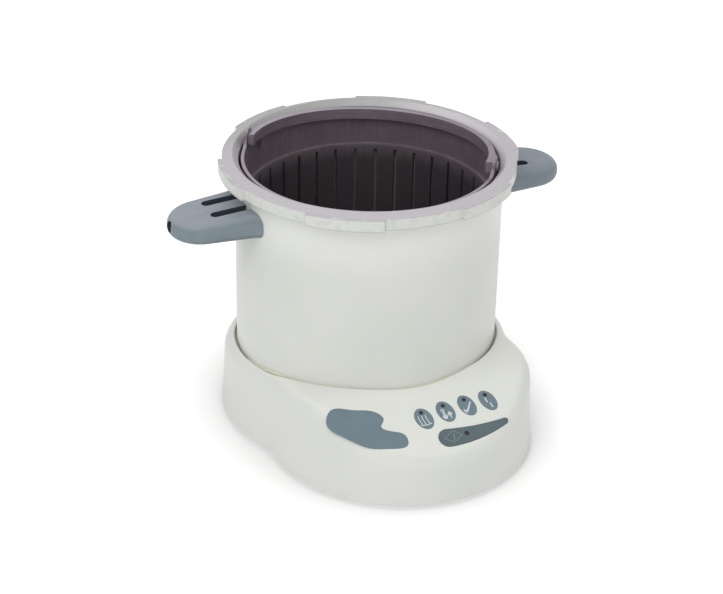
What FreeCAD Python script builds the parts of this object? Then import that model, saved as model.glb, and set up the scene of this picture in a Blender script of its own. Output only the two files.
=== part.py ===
import FreeCAD, Part
import math
import os
import re
import Sketcher

V = FreeCAD.Vector
UP = V(0, 0, 1)
EAST = V(1, 0, 0)
NORTH = V(0, 1, 0)

# Sizes in millimetres and degrees: a number drives the model, and an expression follows other sizes.
# Radii and reaches are taken from the vessel's axis, and heights from the bench.
SIZES = [
    # Pressure vessel with its bayonet flange
    ("vessel_radius", 125),
    ("vessel_wall", 3.5),
    ("vessel_floor", 4),
    ("vessel_height", 52),
    ("vessel_corner", 12),
    ("rim_height", 263.5),
    ("rim_fall", 3),
    ("mouth_flare", 1.7),
    ("mouth_radius", "vessel_radius + mouth_flare"),
    ("mouth_bevel", 6),
    ("flange_reach", 11.6),
    ("flange_radius", "vessel_radius + flange_reach"),
    ("flange_thickness", 11),
    ("lug_reach", 3.9),
    ("lug_radius", "flange_radius + lug_reach"),
    ("lug_root", 3),
    ("lug_angle", 29),
    ("lug_count", 6),
    # Base casing
    ("foot_height", 3),
    ("opening_gap", 2),
    ("opening_lip", 1.5),
    ("casing_margin", 13),
    ("casing_radius", "vessel_radius + opening_gap + casing_margin"),
    ("casing_draft", 3),
    ("casing_wall", 3),
    ("bulge_narrowing", 14),
    ("bulge_radius", "casing_radius - bulge_narrowing"),
    ("bulge_shift", 5),
    ("crown_reach", "vessel_radius + opening_gap"),
    ("panel_depth", 76.5),
    ("front_reach", "crown_reach + panel_depth"),
    ("blend_radius", 85),
    ("shoulder_radius", 16),
    ("crown_height", 84.7),
    ("crown_radius", 60),
    ("rear_slope", 3.9),
    ("panel_slope", 28),
    ("post_inset", 9),
    ("rear_post_angle", 42),
    ("front_post_angle", 40),
    ("post_radius", 6),
    ("post_height", 26),
    # Instrument basket
    ("basket_gap", 2.5),
    ("basket_radius", "vessel_radius - vessel_wall - basket_gap"),
    ("basket_wall", 3),
    ("basket_sink", 6),
    ("basket_rim", "rim_height - basket_sink"),
    ("ledge_drop", 36.5),
    ("basket_ledge", "basket_rim - ledge_drop"),
    ("basket_step", 2.5),
    ("basket_foot_height", 14),
    ("basket_floor", "vessel_height + vessel_floor + basket_foot_height"),
    ("basket_turn", -34.5),
    ("slot_count", 36),
    ("slot_width", 3),
    ("slot_margin", 14),
    ("slot_top_margin", 2),
    ("ear_rise", 15.5),
    ("ear_radius", 7.5),
    ("ear_half_base", 17),
    ("ear_blend", 9),
    ("basket_foot_count", 3),
    ("basket_foot_radius", 5),
    ("basket_foot_reach", 92),
    ("floor_hole_count", 9),
    ("floor_hole_radius", 5),
    ("floor_hole_reach", 72),
    ("inner_hole_reach", 38),
    # Folding handle of the basket
    ("pivot_rise", 6),
    ("pivot_height", "basket_rim + pivot_rise"),
    ("pivot_radius", 2.5),
    ("pivot_play", 0.05),
    ("pivot_head_radius", 4.5),
    ("pivot_head", 1.6),
    ("band_width", 5.6),
    ("band_depth", 10),
    ("band_play", 0.4),
    ("band_heel", 6),
    ("band_droop", 5),
    ("stop_root", 4),
    ("stop_width", 5.5),
    ("stop_reach", 20),
    ("stop_length", 5),
    ("stop_depth", 10),
    ("stop_play", 0.2),
    # Side handles, their brackets and bolts
    ("handle_turn", 2.5),
    ("handle_length", 71.5),
    ("handle_reach", "vessel_radius + handle_length"),
    ("handle_drop", 27.5),
    ("handle_top", "rim_height - handle_drop"),
    ("handle_height", 26),
    ("handle_bottom", "handle_top - handle_height"),
    ("handle_fall", 7),
    ("handle_root", 37.5),
    ("handle_taper", 5),
    ("handle_tip_radius", 31),
    ("handle_flare_radius", 22),
    ("handle_upper_edge", 10),
    ("handle_lower_edge", 8),
    ("handle_play", 0.3),
    ("grip_slot_width", 10),
    ("grip_slot_offset", 12.5),
    ("grip_slot_end", 36),
    ("grip_slot_reach", "handle_reach - grip_slot_end"),
    ("grip_slot_depth", 14),
    ("grip_slot_floor", "handle_top - grip_slot_depth"),
    ("bolt_rise", 10.5),
    ("bolt_height", "handle_bottom + bolt_rise"),
    ("bolt_radius", 3),
    ("bolt_head_radius", 5),
    ("bolt_head", 5),
    ("bolt_recess", 13),
    ("bracket_thickness", 4),
    ("bracket_half_angle", 9),
    ("bracket_drop", 8),
    ("bracket_bottom", "bolt_height - bracket_drop"),
    ("bracket_height", 7),
    ("boss_radius", 5.5),
    ("boss_length", 17),
    ("boss_reach", "vessel_radius + boss_length"),
    # Underside
    ("plate_thickness", 2),
    ("plate_play", 0.3),
    ("vent_count", 11),
    ("vent_pitch", 10),
    ("vent_width", 4),
    ("vent_length", 46),
    ("foot_radius", 10),
    ("foot_x", 80),
    ("foot_rear_inset", 55),
    ("foot_rear", "casing_radius - foot_rear_inset"),
    ("foot_front_inset", 65.5),
    ("foot_front", "front_reach - foot_front_inset"),
    ("plug_radius", 3),
    ("plug_rise", 1.5),
    ("screw_radius", 2),
    ("screw_length", 16),
    ("screw_head_radius", 4),
    ("screw_head", 1.8),
    # Heater and what carries the vessel
    ("pillar_inset", 25),
    ("pillar_reach", "vessel_radius - pillar_inset"),
    ("pillar_radius", 8),
    ("pillar_neck", 5),
    ("pillar_play", 0.2),
    ("shield_drop", 26),
    ("shield_height", "vessel_height - shield_drop"),
    ("shield_inset", 13),
    ("shield_radius", "vessel_radius - shield_inset"),
    ("shield_rim", 9),
    ("sheet_metal", 1),
    ("heater_inset", 40),
    ("heater_radius", "vessel_radius - heater_inset"),
    ("heater_thickness", 8),
    ("element_inset", 23),
    ("element_radius", "heater_radius - element_inset"),
    ("element_tube", 4),
    ("element_angle", 320),
    ("terminal_radius", 2),
    ("terminal_length", 10),
    ("stud_radius", 4),
    ("stud_length", 20),
    ("clamp_length", 100),
    ("clamp_width", 16),
    ("clamp_thickness", 4),
    ("nut_radius", 7.5),
    ("nut_height", 6),
    ("cutout_radius", 8),
    ("cutout_height", 7),
    ("clip_length", 24),
    ("clip_width", 6),
    ("sensor_radius", 3),
    ("sensor_length", 14),
    ("sensor_reach", 34),
    ("collar_radius", 5.5),
    ("collar_height", 3),
    # Control panel: places are across it and down its slope from the crown
    ("key_setback", 16),
    ("key_head_down", "panel_depth - key_setback"),
    ("key_head_across", 11),
    ("key_head_radius", 9),
    ("key_tip_across", 70),
    ("key_tip_rise", 6.5),
    ("key_tip_down", "key_head_down - key_tip_rise"),
    ("key_tip_radius", 2.6),
    ("key_belly_radius", 130),
    ("key_hollow_radius", 240),
    ("key_lamp_across", 29.5),
    ("key_lamp_rise", 1),
    ("key_lamp_down", "key_head_down - key_lamp_rise"),
    ("key_play", 0.3),
    ("key_rise", 0.4),
    ("key_travel", 1),
    ("key_lip", 1.6),
    ("key_lip_end", 44),
    ("key_lip_thickness", 1.2),
    ("key_stem_radius", 3),
    ("label_long", 21),
    ("label_wide", 14),
    ("label_tilt", 11),
    ("label_thickness", 0.6),
    ("label_depth", 0.5),
    ("label_one_across", -4),
    ("label_one_rise", 23.5),
    ("label_one_down", "key_head_down - label_one_rise"),
    ("label_two_across", 18.5),
    ("label_two_rise", 26.5),
    ("label_two_down", "key_head_down - label_two_rise"),
    ("label_three_across", 40.2),
    ("label_three_rise", 28.5),
    ("label_three_down", "key_head_down - label_three_rise"),
    ("label_four_across", 61.7),
    ("label_four_rise", 29.5),
    ("label_four_down", "key_head_down - label_four_rise"),
    ("nameplate_across", -60),
    ("nameplate_rise", 24.5),
    ("nameplate_down", "key_head_down - nameplate_rise"),
    ("lamp_radius", 2),
    ("lamp_play", 0.3),
    ("lamp_rise", 0.2),
    ("lamp_offset", 6.7),
    ("board_depth", 12.4),
    ("board_thickness", 1.6),
    ("board_across", 26),
    ("board_rise", 18.5),
    ("board_down", "key_head_down - board_rise"),
    ("board_length", 80),
    ("board_width", 48),
    ("spacer_radius", 3),
    ("spacer_inset", 5),
    ("board_screw_radius", 1.2),
    ("board_screw_length", 6),
    ("board_screw_head", 1.2),
    ("switch_across", 14),
    ("switch_down", "key_lamp_down"),
    ("switch_size", 10),
    ("switch_height", 4),
    ("switch_well", 3.2),
    ("plunger_radius", 2),
    ("plunger_play", 0.1),
    ("plunger_length", 3),
    ("plunger_spare", 0.4),
    ("plunger_rise", "key_travel + plunger_spare"),
    # Power electronics on the bottom plate
    ("power_board_length", 108),
    ("power_board_width", 48),
    ("power_board_setback", 51.5),
    ("power_board_reach", "front_reach - power_board_setback"),
    ("power_board_lift", 7),
    ("power_post_radius", 3.5),
    ("power_post_margin", 6),
    ("transformer_length", 40),
    ("transformer_width", 32),
    ("transformer_height", 28),
    ("transformer_x", -34),
    ("relay_length", 20),
    ("relay_width", 16),
    ("relay_height", 17),
    ("relay_x", 14),
    ("block_length", 34),
    ("block_width", 10),
    ("block_height", 12),
    ("block_x", 40),
    ("block_pitch", 10),
    ("block_well_radius", 3),
    ("block_well_depth", 6),
    # Appliance inlet at the rear
    ("inlet_height", 24),
    ("inlet_recess", 3.4),
    ("inlet_flat", "casing_radius - inlet_recess"),
    ("inlet_play", 0.5),
    ("inlet_flange_length", 48),
    ("inlet_flange_width", 24),
    ("inlet_flange_end", 12),
    ("inlet_flange_nose", 4),
    ("inlet_flange", 2.2),
    ("inlet_housing_length", 27),
    ("inlet_housing_width", 19.5),
    ("inlet_housing_depth", 24),
    ("inlet_wall", 1.6),
    ("inlet_socket_depth", 16),
    ("inlet_block_depth", 6),
    ("pin_length", 13),
    ("pin_width", 4),
    ("pin_thickness", 2),
    ("pin_pitch", 7),
    ("earth_rise", 2),
    ("inlet_screw_pitch", 40),
    ("inlet_screw_radius", 1.6),
    ("inlet_screw_length", 8),
    ("inlet_screw_head", 1),
    ("inlet_screw_head_radius", 3),
]

FUNCTIONS = ("sin", "cos", "tan", "sqrt")

# Two lengths that differ by less than this are the same
EVEN = 0.01

# Outline of the nameplate about its own centre: across and down, joined by one smooth closed curve
NAMEPLATE = [(-33, -17), (-23, -26), (-7, -21.5), (15, -13.5), (18.5, -6), (14, 0.5),
             (21.5, 7), (33, 14), (32.5, 23), (16, 24.5), (-5, 18.5), (-24, 3)]

AXIS_Y = "((front_reach - casing_radius) / 2)"
PLATE_TOP = "(foot_height + plate_thickness)"
HEATER_BOTTOM = "(vessel_height - heater_thickness)"
POWER_BOARD_TOP = f"({PLATE_TOP} + power_board_lift + board_thickness)"
STOP_TOP = ("(pivot_height - stop_play - band_depth / 2 / cos(band_droop)"
            " - (stop_reach + stop_length) * tan(band_droop))")

doc = FreeCAD.newDocument("SteamAutoclave")
sheet = doc.addObject("Spreadsheet::Sheet", "Sizes")
nodes = []


def fill_sheet():
    for row, (alias, amount) in enumerate(SIZES, 1):
        sheet.set(f"A{row}", alias)
        sheet.set(f"B{row}", f"={amount}")
        sheet.setAlias(f"B{row}", alias)
    doc.recompute()


def named(text):
    """Expression in which every plain name is a cell of the sheet."""
    def cell(match):
        word = match.group(0)
        return word if word in FUNCTIONS else "Sizes." + word
    return re.sub(r"[a-z][a-z_]*", cell, text)


def value(text):
    return float(sheet.evalExpression(named(text)))


def bind(item, field, text):
    item.setExpression(field, named(text))


def place(item, x="0", y="0", z="0"):
    """Stands an item in the vessel's frame, whose axis lies AXIS_Y behind the origin."""
    bind(item, "Placement.Base.x", x)
    bind(item, "Placement.Base.y", f"{AXIS_Y} + ({y})")
    bind(item, "Placement.Base.z", z)
    return item


def turn(item, rotation):
    item.Placement = FreeCAD.Placement(item.Placement.Base, rotation)
    return item


def panel_turn(spin=0):
    return FreeCAD.Rotation(EAST, value("panel_slope")).multiply(FreeCAD.Rotation(UP, spin))


def place_on_panel(item, across="0", down="0", lift="0", spin=0):
    """Lays an item on the control panel: across, down the slope, and out along its normal."""
    turn(item, panel_turn(spin))
    back = f"-crown_reach - ({down}) * cos(panel_slope) - ({lift}) * sin(panel_slope)"
    height = f"crown_height - ({down}) * sin(panel_slope) + ({lift}) * cos(panel_slope)"
    return place(item, across, back, height)


def node(item, name):
    item.Label = name
    nodes.append(item)
    return item


def new_body(name, angle=0):
    body = doc.addObject("PartDesign::Body", name)
    return place(turn(body, FreeCAD.Rotation(UP, angle)))


def sketch_on(body, role, name, lift="0"):
    plane = [f for f in body.Origin.OriginFeatures if f.Role == role][0]
    sketch = body.newObject("Sketcher::SketchObject", name)
    sketch.AttachmentSupport = (plane, [""])
    sketch.MapMode = "FlatFace"
    bind(sketch, "AttachmentOffset.Base.z", lift)
    return sketch


def dimension(sketch, kind, *items, text):
    number = math.radians(value(text)) if kind == "Angle" else value(text)
    index = sketch.addConstraint(Sketcher.Constraint(kind, *items, number))
    bind(sketch, f"Constraints[{index}]", text)


def pin(sketch, item, point, x, y):
    """Holds a point of the sketch at two expressions; a plain 0 holds it on the axis."""
    for kind, axis, text in (("DistanceX", -2, x), ("DistanceY", -1, y)):
        if text == "0":
            sketch.addConstraint(Sketcher.Constraint("PointOnObject", item, point, axis))
        else:
            dimension(sketch, kind, -1, 1, item, point, text=text)


def arc_about(centre, radius, start, end):
    """Arc from start round to end, counter-clockwise about its centre."""
    a = math.atan2(start.y - centre.y, start.x - centre.x)
    b = math.atan2(end.y - centre.y, end.x - centre.x)
    if b <= a:
        b += 2 * math.pi
    return Part.ArcOfCircle(Part.Circle(centre, UP, radius), a, b)


def arc_between(start, end, radius, side):
    """Short arc from start to end, with its centre on the left for side 1 and right for -1."""
    half = (end - start) * 0.5
    rise = math.sqrt(radius * radius - half.Length * half.Length)
    centre = start + half + V(-half.y, half.x, 0).normalize() * (side * rise)
    return arc_about(centre, radius, start, end) if side > 0 else arc_about(centre, radius, end, start)


def outline(sketch, corners):
    """Closed outline through corners (x, y), each pinned; a corner (x, y, radius, side) is reached
    by an arc from the corner before it."""
    points = [V(value(corner[0]), value(corner[1]), 0) for corner in corners]
    edges = []
    for i, corner in enumerate(corners):
        if len(corner) == 2:
            edges.append((sketch.addGeometry(Part.LineSegment(points[i - 1], points[i]), False), 1, 2))
        else:
            arc = arc_between(points[i - 1], points[i], value(corner[2]), corner[3])
            ends = (1, 2) if corner[3] > 0 else (2, 1)
            edges.append((sketch.addGeometry(arc, False), *ends))
            dimension(sketch, "Radius", edges[-1][0], text=corner[2])
    for i, corner in enumerate(corners):
        item, _, last = edges[i]
        following, first, _ = edges[(i + 1) % len(edges)]
        sketch.addConstraint(Sketcher.Constraint("Coincident", item, last, following, first))
        pin(sketch, item, last, corner[0], corner[1])


def circle(sketch, x, y, radius):
    item = sketch.addGeometry(Part.Circle(V(value(x), value(y), 0), UP, value(radius)), False)
    pin(sketch, item, 3, x, y)
    dimension(sketch, "Radius", item, text=radius)


def rectangle(sketch, x0, y0, x1, y1):
    outline(sketch, [(x0, y0), (x1, y0), (x1, y1), (x0, y1)])


def ring_sector(sketch, inner, outer, half_angle):
    """Sector of a ring about the sketch's x axis."""
    def corner(radius, sign):
        return f"({radius}) * cos({half_angle})", f"{sign}({radius}) * sin({half_angle})"
    outline(sketch, [
        (*corner(inner, "-"), inner, -1),
        corner(outer, "-"),
        (*corner(outer, ""), outer, 1),
        corner(inner, ""),
    ])


def revolve(body, sketch, name):
    feature = body.newObject("PartDesign::Revolution", name)
    feature.Profile = sketch
    feature.ReferenceAxis = (sketch, ["V_Axis"])
    feature.Angle = 360
    doc.recompute()
    return feature


def pad(body, sketch, name, length, middle=False, reverse=False, taper="0"):
    feature = body.newObject("PartDesign::Pad", name)
    feature.Profile = sketch
    feature.Midplane = middle
    feature.Reversed = reverse
    bind(feature, "Length", length)
    bind(feature, "TaperAngle", taper)
    doc.recompute()
    return feature


def pocket(body, sketch, name, length=None, middle=False, reverse=False):
    """Cuts a sketch through the body, or to a length, and makes sure that it removed something."""
    before = body.Shape.Volume
    feature = body.newObject("PartDesign::Pocket", name)
    feature.Profile = sketch
    feature.Midplane = middle
    feature.Reversed = reverse
    if length is None:
        feature.Type = "ThroughAll"
    else:
        bind(feature, "Length", length)
    doc.recompute()
    if feature.Shape.Volume >= before:
        raise RuntimeError(f"{body.Name}: {name} removes nothing")
    return feature


def repeat_round(body, feature, name, count, axis):
    """Repeats a feature round the vessel's axis; axis is a sketch and its axis name."""
    pattern = body.newObject("PartDesign::PolarPattern", name)
    pattern.Originals = [feature]
    pattern.Axis = axis
    pattern.Angle = 360
    bind(pattern, "Occurrences", count)
    body.Tip = pattern
    doc.recompute()
    return pattern


def round_edges(body, feature, name, test, radius):
    """Rounds those edges of a feature that pass a test."""
    edges = [f"Edge{i}" for i, edge in enumerate(feature.Shape.Edges, 1) if test(edge)]
    if not edges:
        raise RuntimeError(f"{body.Name}: {name} finds no edge")
    fillet = body.newObject("PartDesign::Fillet", name)
    fillet.Base = (feature, edges)
    bind(fillet, "Radius", radius)
    doc.recompute()
    return fillet


def straight(edge):
    return edge.Curve.TypeId == "Part::GeomLine"


def on_radius(edge, radius):
    """True if both ends of an edge lie at one distance from the body's upright axis."""
    return all(abs(math.hypot(v.X, v.Y) - radius) < EVEN for v in edge.Vertexes)


def level_circle(edge, radius, height):
    """True for a level round edge of one radius and height."""
    span = edge.BoundBox
    level = span.ZLength < EVEN and abs(span.ZMin - height) < EVEN
    return level and not straight(edge) and on_radius(edge, radius)


def cylinder(name, radius, height, x="0", y="0", z="0"):
    item = doc.addObject("Part::Cylinder", name)
    bind(item, "Radius", radius)
    bind(item, "Height", height)
    return place(item, x, y, z)


def box(name, size, x="0", y="0", z="0"):
    """Box of three expressions, centred on x and y and standing on z."""
    item = doc.addObject("Part::Box", name)
    for field, text in zip(("Length", "Width", "Height"), size):
        bind(item, field, text)
    return place(item, f"({x}) - ({size[0]}) / 2", f"({y}) - ({size[1]}) / 2", z)


def fuse(name, parts):
    item = doc.addObject("Part::MultiFuse", name)
    item.Shapes = parts
    return item


def cut(name, base, tool):
    item = doc.addObject("Part::Cut", name)
    item.Base = base
    item.Tool = tool
    return item


def group(name, parts):
    """Several separate solids of one kind."""
    item = doc.addObject("Part::Compound", name)
    item.Links = parts
    return node(item, name)


# Pressure vessel

def make_pressure_vessel():
    body = new_body("pressure_vessel")
    profile = sketch_on(body, "XZ_Plane", "vessel_profile")
    flange_bottom = "rim_height - rim_fall - flange_thickness"
    bore = "vessel_radius - vessel_wall"
    inside = "vessel_height + vessel_floor"
    outline(profile, [
        ("0", "vessel_height"),
        ("vessel_radius", "vessel_height"),
        ("vessel_radius", flange_bottom),
        ("flange_radius", flange_bottom),
        ("flange_radius", "rim_height - rim_fall"),
        ("mouth_radius", "rim_height"),
        (bore, "rim_height - mouth_bevel"),
        (bore, inside),
        ("0", inside),
    ])
    revolve(body, profile, "vessel_wall_round")
    lug_plan = sketch_on(body, "XY_Plane", "lug_plan", flange_bottom)
    ring_sector(lug_plan, "flange_radius - lug_root", "lug_radius", "lug_angle / 2")
    lug = pad(body, lug_plan, "lug", "flange_thickness")
    lugs = repeat_round(body, lug, "lugs", "lug_count", (profile, ["V_Axis"]))
    foot = value("vessel_height")
    lower = round_edges(body, lugs, "outer_corner",
                        lambda e: level_circle(e, value("vessel_radius"), foot), "vessel_corner")
    round_edges(body, lower, "inner_corner",
                lambda e: level_circle(e, value(bore), value(inside)), "vessel_corner - vessel_wall")
    node(body, "pressure_vessel")


# Instrument basket and its folding handle

def make_instrument_basket():
    body = new_body("instrument_basket", value("basket_turn"))
    inner = "basket_radius - basket_wall"
    lower_outer = "basket_radius - basket_step"
    lower_inner = "basket_radius - basket_step - basket_wall"
    ear_top = "basket_rim + ear_rise"
    profile = sketch_on(body, "XZ_Plane", "basket_profile")
    outline(profile, [
        ("0", "basket_floor"),
        (lower_outer, "basket_floor"),
        (lower_outer, "basket_ledge - basket_wall"),
        ("basket_radius", "basket_ledge - basket_wall"),
        ("basket_radius", ear_top),
        (inner, ear_top),
        (inner, "basket_ledge"),
        (lower_inner, "basket_ledge"),
        (lower_inner, "basket_floor + basket_wall"),
        ("0", "basket_floor + basket_wall"),
    ])
    revolve(body, profile, "basket_wall_round")

    # Two stops inside the wall carry the folded handle
    stop_plan = sketch_on(body, "XY_Plane", "stop_plan", STOP_TOP)
    for side in ("-", ""):
        rectangle(stop_plan, f"{side}(basket_radius - stop_root - stop_width)", "stop_reach",
                  f"{side}(basket_radius - stop_root)", "stop_reach + stop_length")
    pad(body, stop_plan, "stops", "stop_depth", reverse=True)

    # Above the rim the wall stays only in the two ears
    above = sketch_on(body, "YZ_Plane", "above_rim")
    clear = "(basket_radius + ear_rise)"
    ear_side = f"{ear_top} - ear_radius"
    outline(above, [
        (f"-{clear}", "basket_rim"),
        ("-ear_half_base", "basket_rim"),
        ("-ear_radius", ear_side, "ear_blend", 1),
        ("0", ear_top, "ear_radius", -1),
        ("ear_radius", ear_side, "ear_radius", -1),
        ("ear_half_base", "basket_rim", "ear_blend", 1),
        (clear, "basket_rim"),
        (clear, f"{ear_top} + ear_rise"),
        (f"-{clear}", f"{ear_top} + ear_rise"),
    ])
    pocket(body, above, "ears", middle=True)
    bores = sketch_on(body, "YZ_Plane", "pivot_bores")
    circle(bores, "0", "pivot_height", "pivot_radius")
    pocket(body, bores, "pivot_holes", middle=True)

    slot_side = sketch_on(body, "YZ_Plane", "slot_side")
    rectangle(slot_side, "-slot_width / 2", "basket_floor + slot_margin",
              "slot_width / 2", "basket_ledge - basket_wall - slot_top_margin")
    slot = pocket(body, slot_side, "slot", reverse=True)
    repeat_round(body, slot, "slots", "slot_count", (profile, ["V_Axis"]))

    hole_plan = sketch_on(body, "XY_Plane", "floor_hole_plan", "basket_floor + basket_wall")
    circle(hole_plan, "floor_hole_reach", "0", "floor_hole_radius")
    circle(hole_plan, "inner_hole_reach", "0", "floor_hole_radius")
    hole = pocket(body, hole_plan, "floor_hole", "basket_wall")
    repeat_round(body, hole, "floor_holes", "floor_hole_count", (profile, ["V_Axis"]))

    foot_plan = sketch_on(body, "XY_Plane", "basket_foot_plan", "basket_floor")
    circle(foot_plan, "basket_foot_reach", "0", "basket_foot_radius")
    foot = pad(body, foot_plan, "basket_foot", "basket_foot_height", reverse=True)
    repeat_round(body, foot, "basket_feet", "basket_foot_count", (profile, ["V_Axis"]))
    node(body, "instrument_basket")


def make_basket_handle():
    body = doc.addObject("PartDesign::Body", "basket_handle")
    droop = FreeCAD.Rotation(EAST, -value("band_droop"))
    turn(body, FreeCAD.Rotation(UP, value("basket_turn")).multiply(droop))
    place(body, z="pivot_height")
    outer = "basket_radius - basket_wall - band_play"
    plan = sketch_on(body, "XY_Plane", "band_plan")
    circle(plan, "0", "0", outer)
    circle(plan, "0", "0", f"{outer} - band_width")
    pad(body, plan, "band", "band_depth", middle=True)
    front = sketch_on(body, "XY_Plane", "front_half")
    rectangle(front, "-basket_radius", "-basket_radius", "basket_radius", "-band_heel")
    pocket(body, front, "half_ring", middle=True)
    bore = sketch_on(body, "YZ_Plane", "band_bore")
    circle(bore, "0", "0", "pivot_radius + pivot_play")
    pocket(body, bore, "band_bores", middle=True)
    node(body, "basket_handle")


def make_pivot_pins():
    pins = []
    for side in (0, 180):
        lay = FreeCAD.Rotation(UP, value("basket_turn") + side).multiply(FreeCAD.Rotation(NORTH, 90))
        pieces = (("shank", "basket_radius - basket_wall - band_play - band_width",
                   "pivot_radius", "basket_wall + band_play + band_width"),
                  ("head", "basket_radius", "pivot_head_radius", "pivot_head"))
        parts = []
        for label, start, radius, length in pieces:
            item = cylinder(f"pin_{label}_{side}", radius, length,
                            f"({start}) * cos(basket_turn + {side})",
                            f"({start}) * sin(basket_turn + {side})", "pivot_height")
            parts.append(turn(item, lay))
        pins.append(fuse(f"pin_{side}", parts))
    group("basket_pivot_pins", pins)


# Side handles, their brackets on the vessel and their bolts

def handle_outline(sketch, seat):
    """Round tip, two tapering sides and two hollow flares that end on the vessel's round wall."""
    tip_radius, flare = value("handle_tip_radius"), value("handle_flare_radius")
    taper = math.radians(value("handle_taper"))
    centre = V(value("handle_reach - handle_tip_radius"), 0, 0)
    root = V(value(f"sqrt({seat} * {seat} - handle_root * handle_root)"), value("handle_root"), 0)
    inward = V(-math.cos(taper), math.sin(taper), 0)
    outward = V(math.sin(taper), math.cos(taper), 0)
    tip_end = centre + outward * tip_radius
    reach = tip_end + outward * flare - root
    lean = reach.dot(inward)
    run = -lean - math.sqrt(lean ** 2 - reach.dot(reach) + flare ** 2)
    waist = tip_end + inward * run
    hollow = waist + outward * flare

    def mirrored(point):
        return V(point.x, -point.y, 0)

    tip_arc, upper_line, upper_flare, seat_arc, lower_flare, lower_line = [
        sketch.addGeometry(piece, False) for piece in (
            arc_about(centre, tip_radius, mirrored(tip_end), tip_end),
            Part.LineSegment(tip_end, waist),
            arc_about(hollow, flare, root, waist),
            arc_about(V(0, 0, 0), value(seat), mirrored(root), root),
            arc_about(mirrored(hollow), flare, mirrored(waist), mirrored(root)),
            Part.LineSegment(mirrored(waist), mirrored(tip_end)))]
    for joint in ((tip_arc, 2, upper_line, 1), (upper_line, 2, upper_flare, 2),
                  (lower_flare, 1, lower_line, 1), (lower_line, 2, tip_arc, 1)):
        sketch.addConstraint(Sketcher.Constraint("Tangent", *joint))
    for joint in ((upper_flare, 1, seat_arc, 2), (seat_arc, 1, lower_flare, 2)):
        sketch.addConstraint(Sketcher.Constraint("Coincident", *joint))
    pin(sketch, tip_arc, 3, "handle_reach - handle_tip_radius", "0")
    pin(sketch, seat_arc, 3, "0", "0")
    dimension(sketch, "DistanceY", -1, 1, seat_arc, 2, text="handle_root")
    dimension(sketch, "DistanceY", -1, 1, seat_arc, 1, text="-handle_root")
    dimension(sketch, "Angle", upper_line, text="180 - handle_taper")
    dimension(sketch, "Angle", lower_line, text="handle_taper")
    for item, text in ((tip_arc, "handle_tip_radius"), (seat_arc, seat),
                       (upper_flare, "handle_flare_radius"), (lower_flare, "handle_flare_radius")):
        dimension(sketch, "Radius", item, text=text)


def make_side_handle(name, angle):
    body = new_body(name, value("handle_turn") + angle)
    seat = "(vessel_radius + handle_play)"
    inside = "(vessel_radius - handle_tip_radius)"
    beyond = "(handle_reach + handle_tip_radius)"
    plan = sketch_on(body, "XY_Plane", f"{name}_plan", "handle_bottom")
    handle_outline(plan, seat)
    pad(body, plan, f"{name}_block", "handle_top - handle_bottom")
    side = sketch_on(body, "XZ_Plane", f"{name}_side")
    slope = f"handle_fall / (handle_reach - {inside})"
    above = "handle_top + handle_fall"
    outline(side, [
        (inside, "handle_top"),
        (beyond, f"handle_top - {slope} * ({beyond} - {inside})"),
        (beyond, above),
        (inside, above),
    ])
    top = pocket(body, side, f"{name}_fall", middle=True)
    low, middle = value("handle_bottom"), value("handle_bottom + handle_height / 2")
    upper = round_edges(body, top, f"{name}_upper_rounding",
                        lambda e: e.BoundBox.ZMin > middle and not on_radius(e, value(seat)),
                        "handle_upper_edge")
    round_edges(body, upper, f"{name}_lower_rounding",
                lambda e: e.BoundBox.ZMax < low + EVEN and not on_radius(e, value(seat)),
                "handle_lower_edge")

    # Two finger slots, open towards the vessel, with a rib between them
    slot_plan = sketch_on(body, "XY_Plane", f"{name}_slot_plan", "grip_slot_floor")
    slot_end = "grip_slot_reach - grip_slot_width / 2"
    for sign, bend in (("", 1), ("-", -1)):
        near = f"{sign}(grip_slot_offset - grip_slot_width / 2)"
        far = f"{sign}(grip_slot_offset + grip_slot_width / 2)"
        outline(slot_plan, [
            (inside, near),
            (slot_end, near),
            ("grip_slot_reach", f"{sign}grip_slot_offset", "grip_slot_width / 2", bend),
            (slot_end, far, "grip_slot_width / 2", bend),
            (inside, far),
        ])
    pocket(body, slot_plan, f"{name}_slots", reverse=True)

    # Room for the bracket and its boss, a passage for the bolt and a recess for its head
    holes = (("boss_room", inside, "boss_reach + handle_play", "boss_radius + handle_play"),
             ("passage", inside, beyond, "bolt_radius + handle_play"),
             ("recess", "handle_reach - bolt_recess", beyond, "bolt_head_radius + handle_play"))
    for label, start, end, radius in holes:
        hole = sketch_on(body, "YZ_Plane", f"{name}_{label}_side", start)
        circle(hole, "0", "bolt_height", radius)
        pocket(body, hole, f"{name}_{label}", f"{end} - ({start})", reverse=True)
    room = sketch_on(body, "XY_Plane", f"{name}_plate_plan", "bracket_bottom - handle_play")
    ring_sector(room, "(vessel_radius - handle_play)", "(vessel_radius + bracket_thickness + handle_play)",
                "(bracket_half_angle + handle_play)")
    pocket(body, room, f"{name}_plate_room", "bracket_height + 2 * handle_play", reverse=True)
    node(body, name)


def make_bracket(name, angle):
    body = new_body(name, value("handle_turn") + angle)
    plan = sketch_on(body, "XY_Plane", f"{name}_plan", "bracket_bottom")
    ring_sector(plan, "vessel_radius", "(vessel_radius + bracket_thickness)", "bracket_half_angle")
    pad(body, plan, f"{name}_plate", "bracket_height")
    root = "vessel_radius + bracket_thickness / 2"
    boss = sketch_on(body, "YZ_Plane", f"{name}_boss_side", root)
    circle(boss, "0", "bolt_height", "boss_radius")
    pad(body, boss, f"{name}_boss", f"boss_reach - ({root})")
    thread = sketch_on(body, "YZ_Plane", f"{name}_thread_side", "vessel_radius + bracket_thickness")
    circle(thread, "0", "bolt_height", "bolt_radius")
    pocket(body, thread, f"{name}_thread", reverse=True)
    node(body, name)


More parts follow.
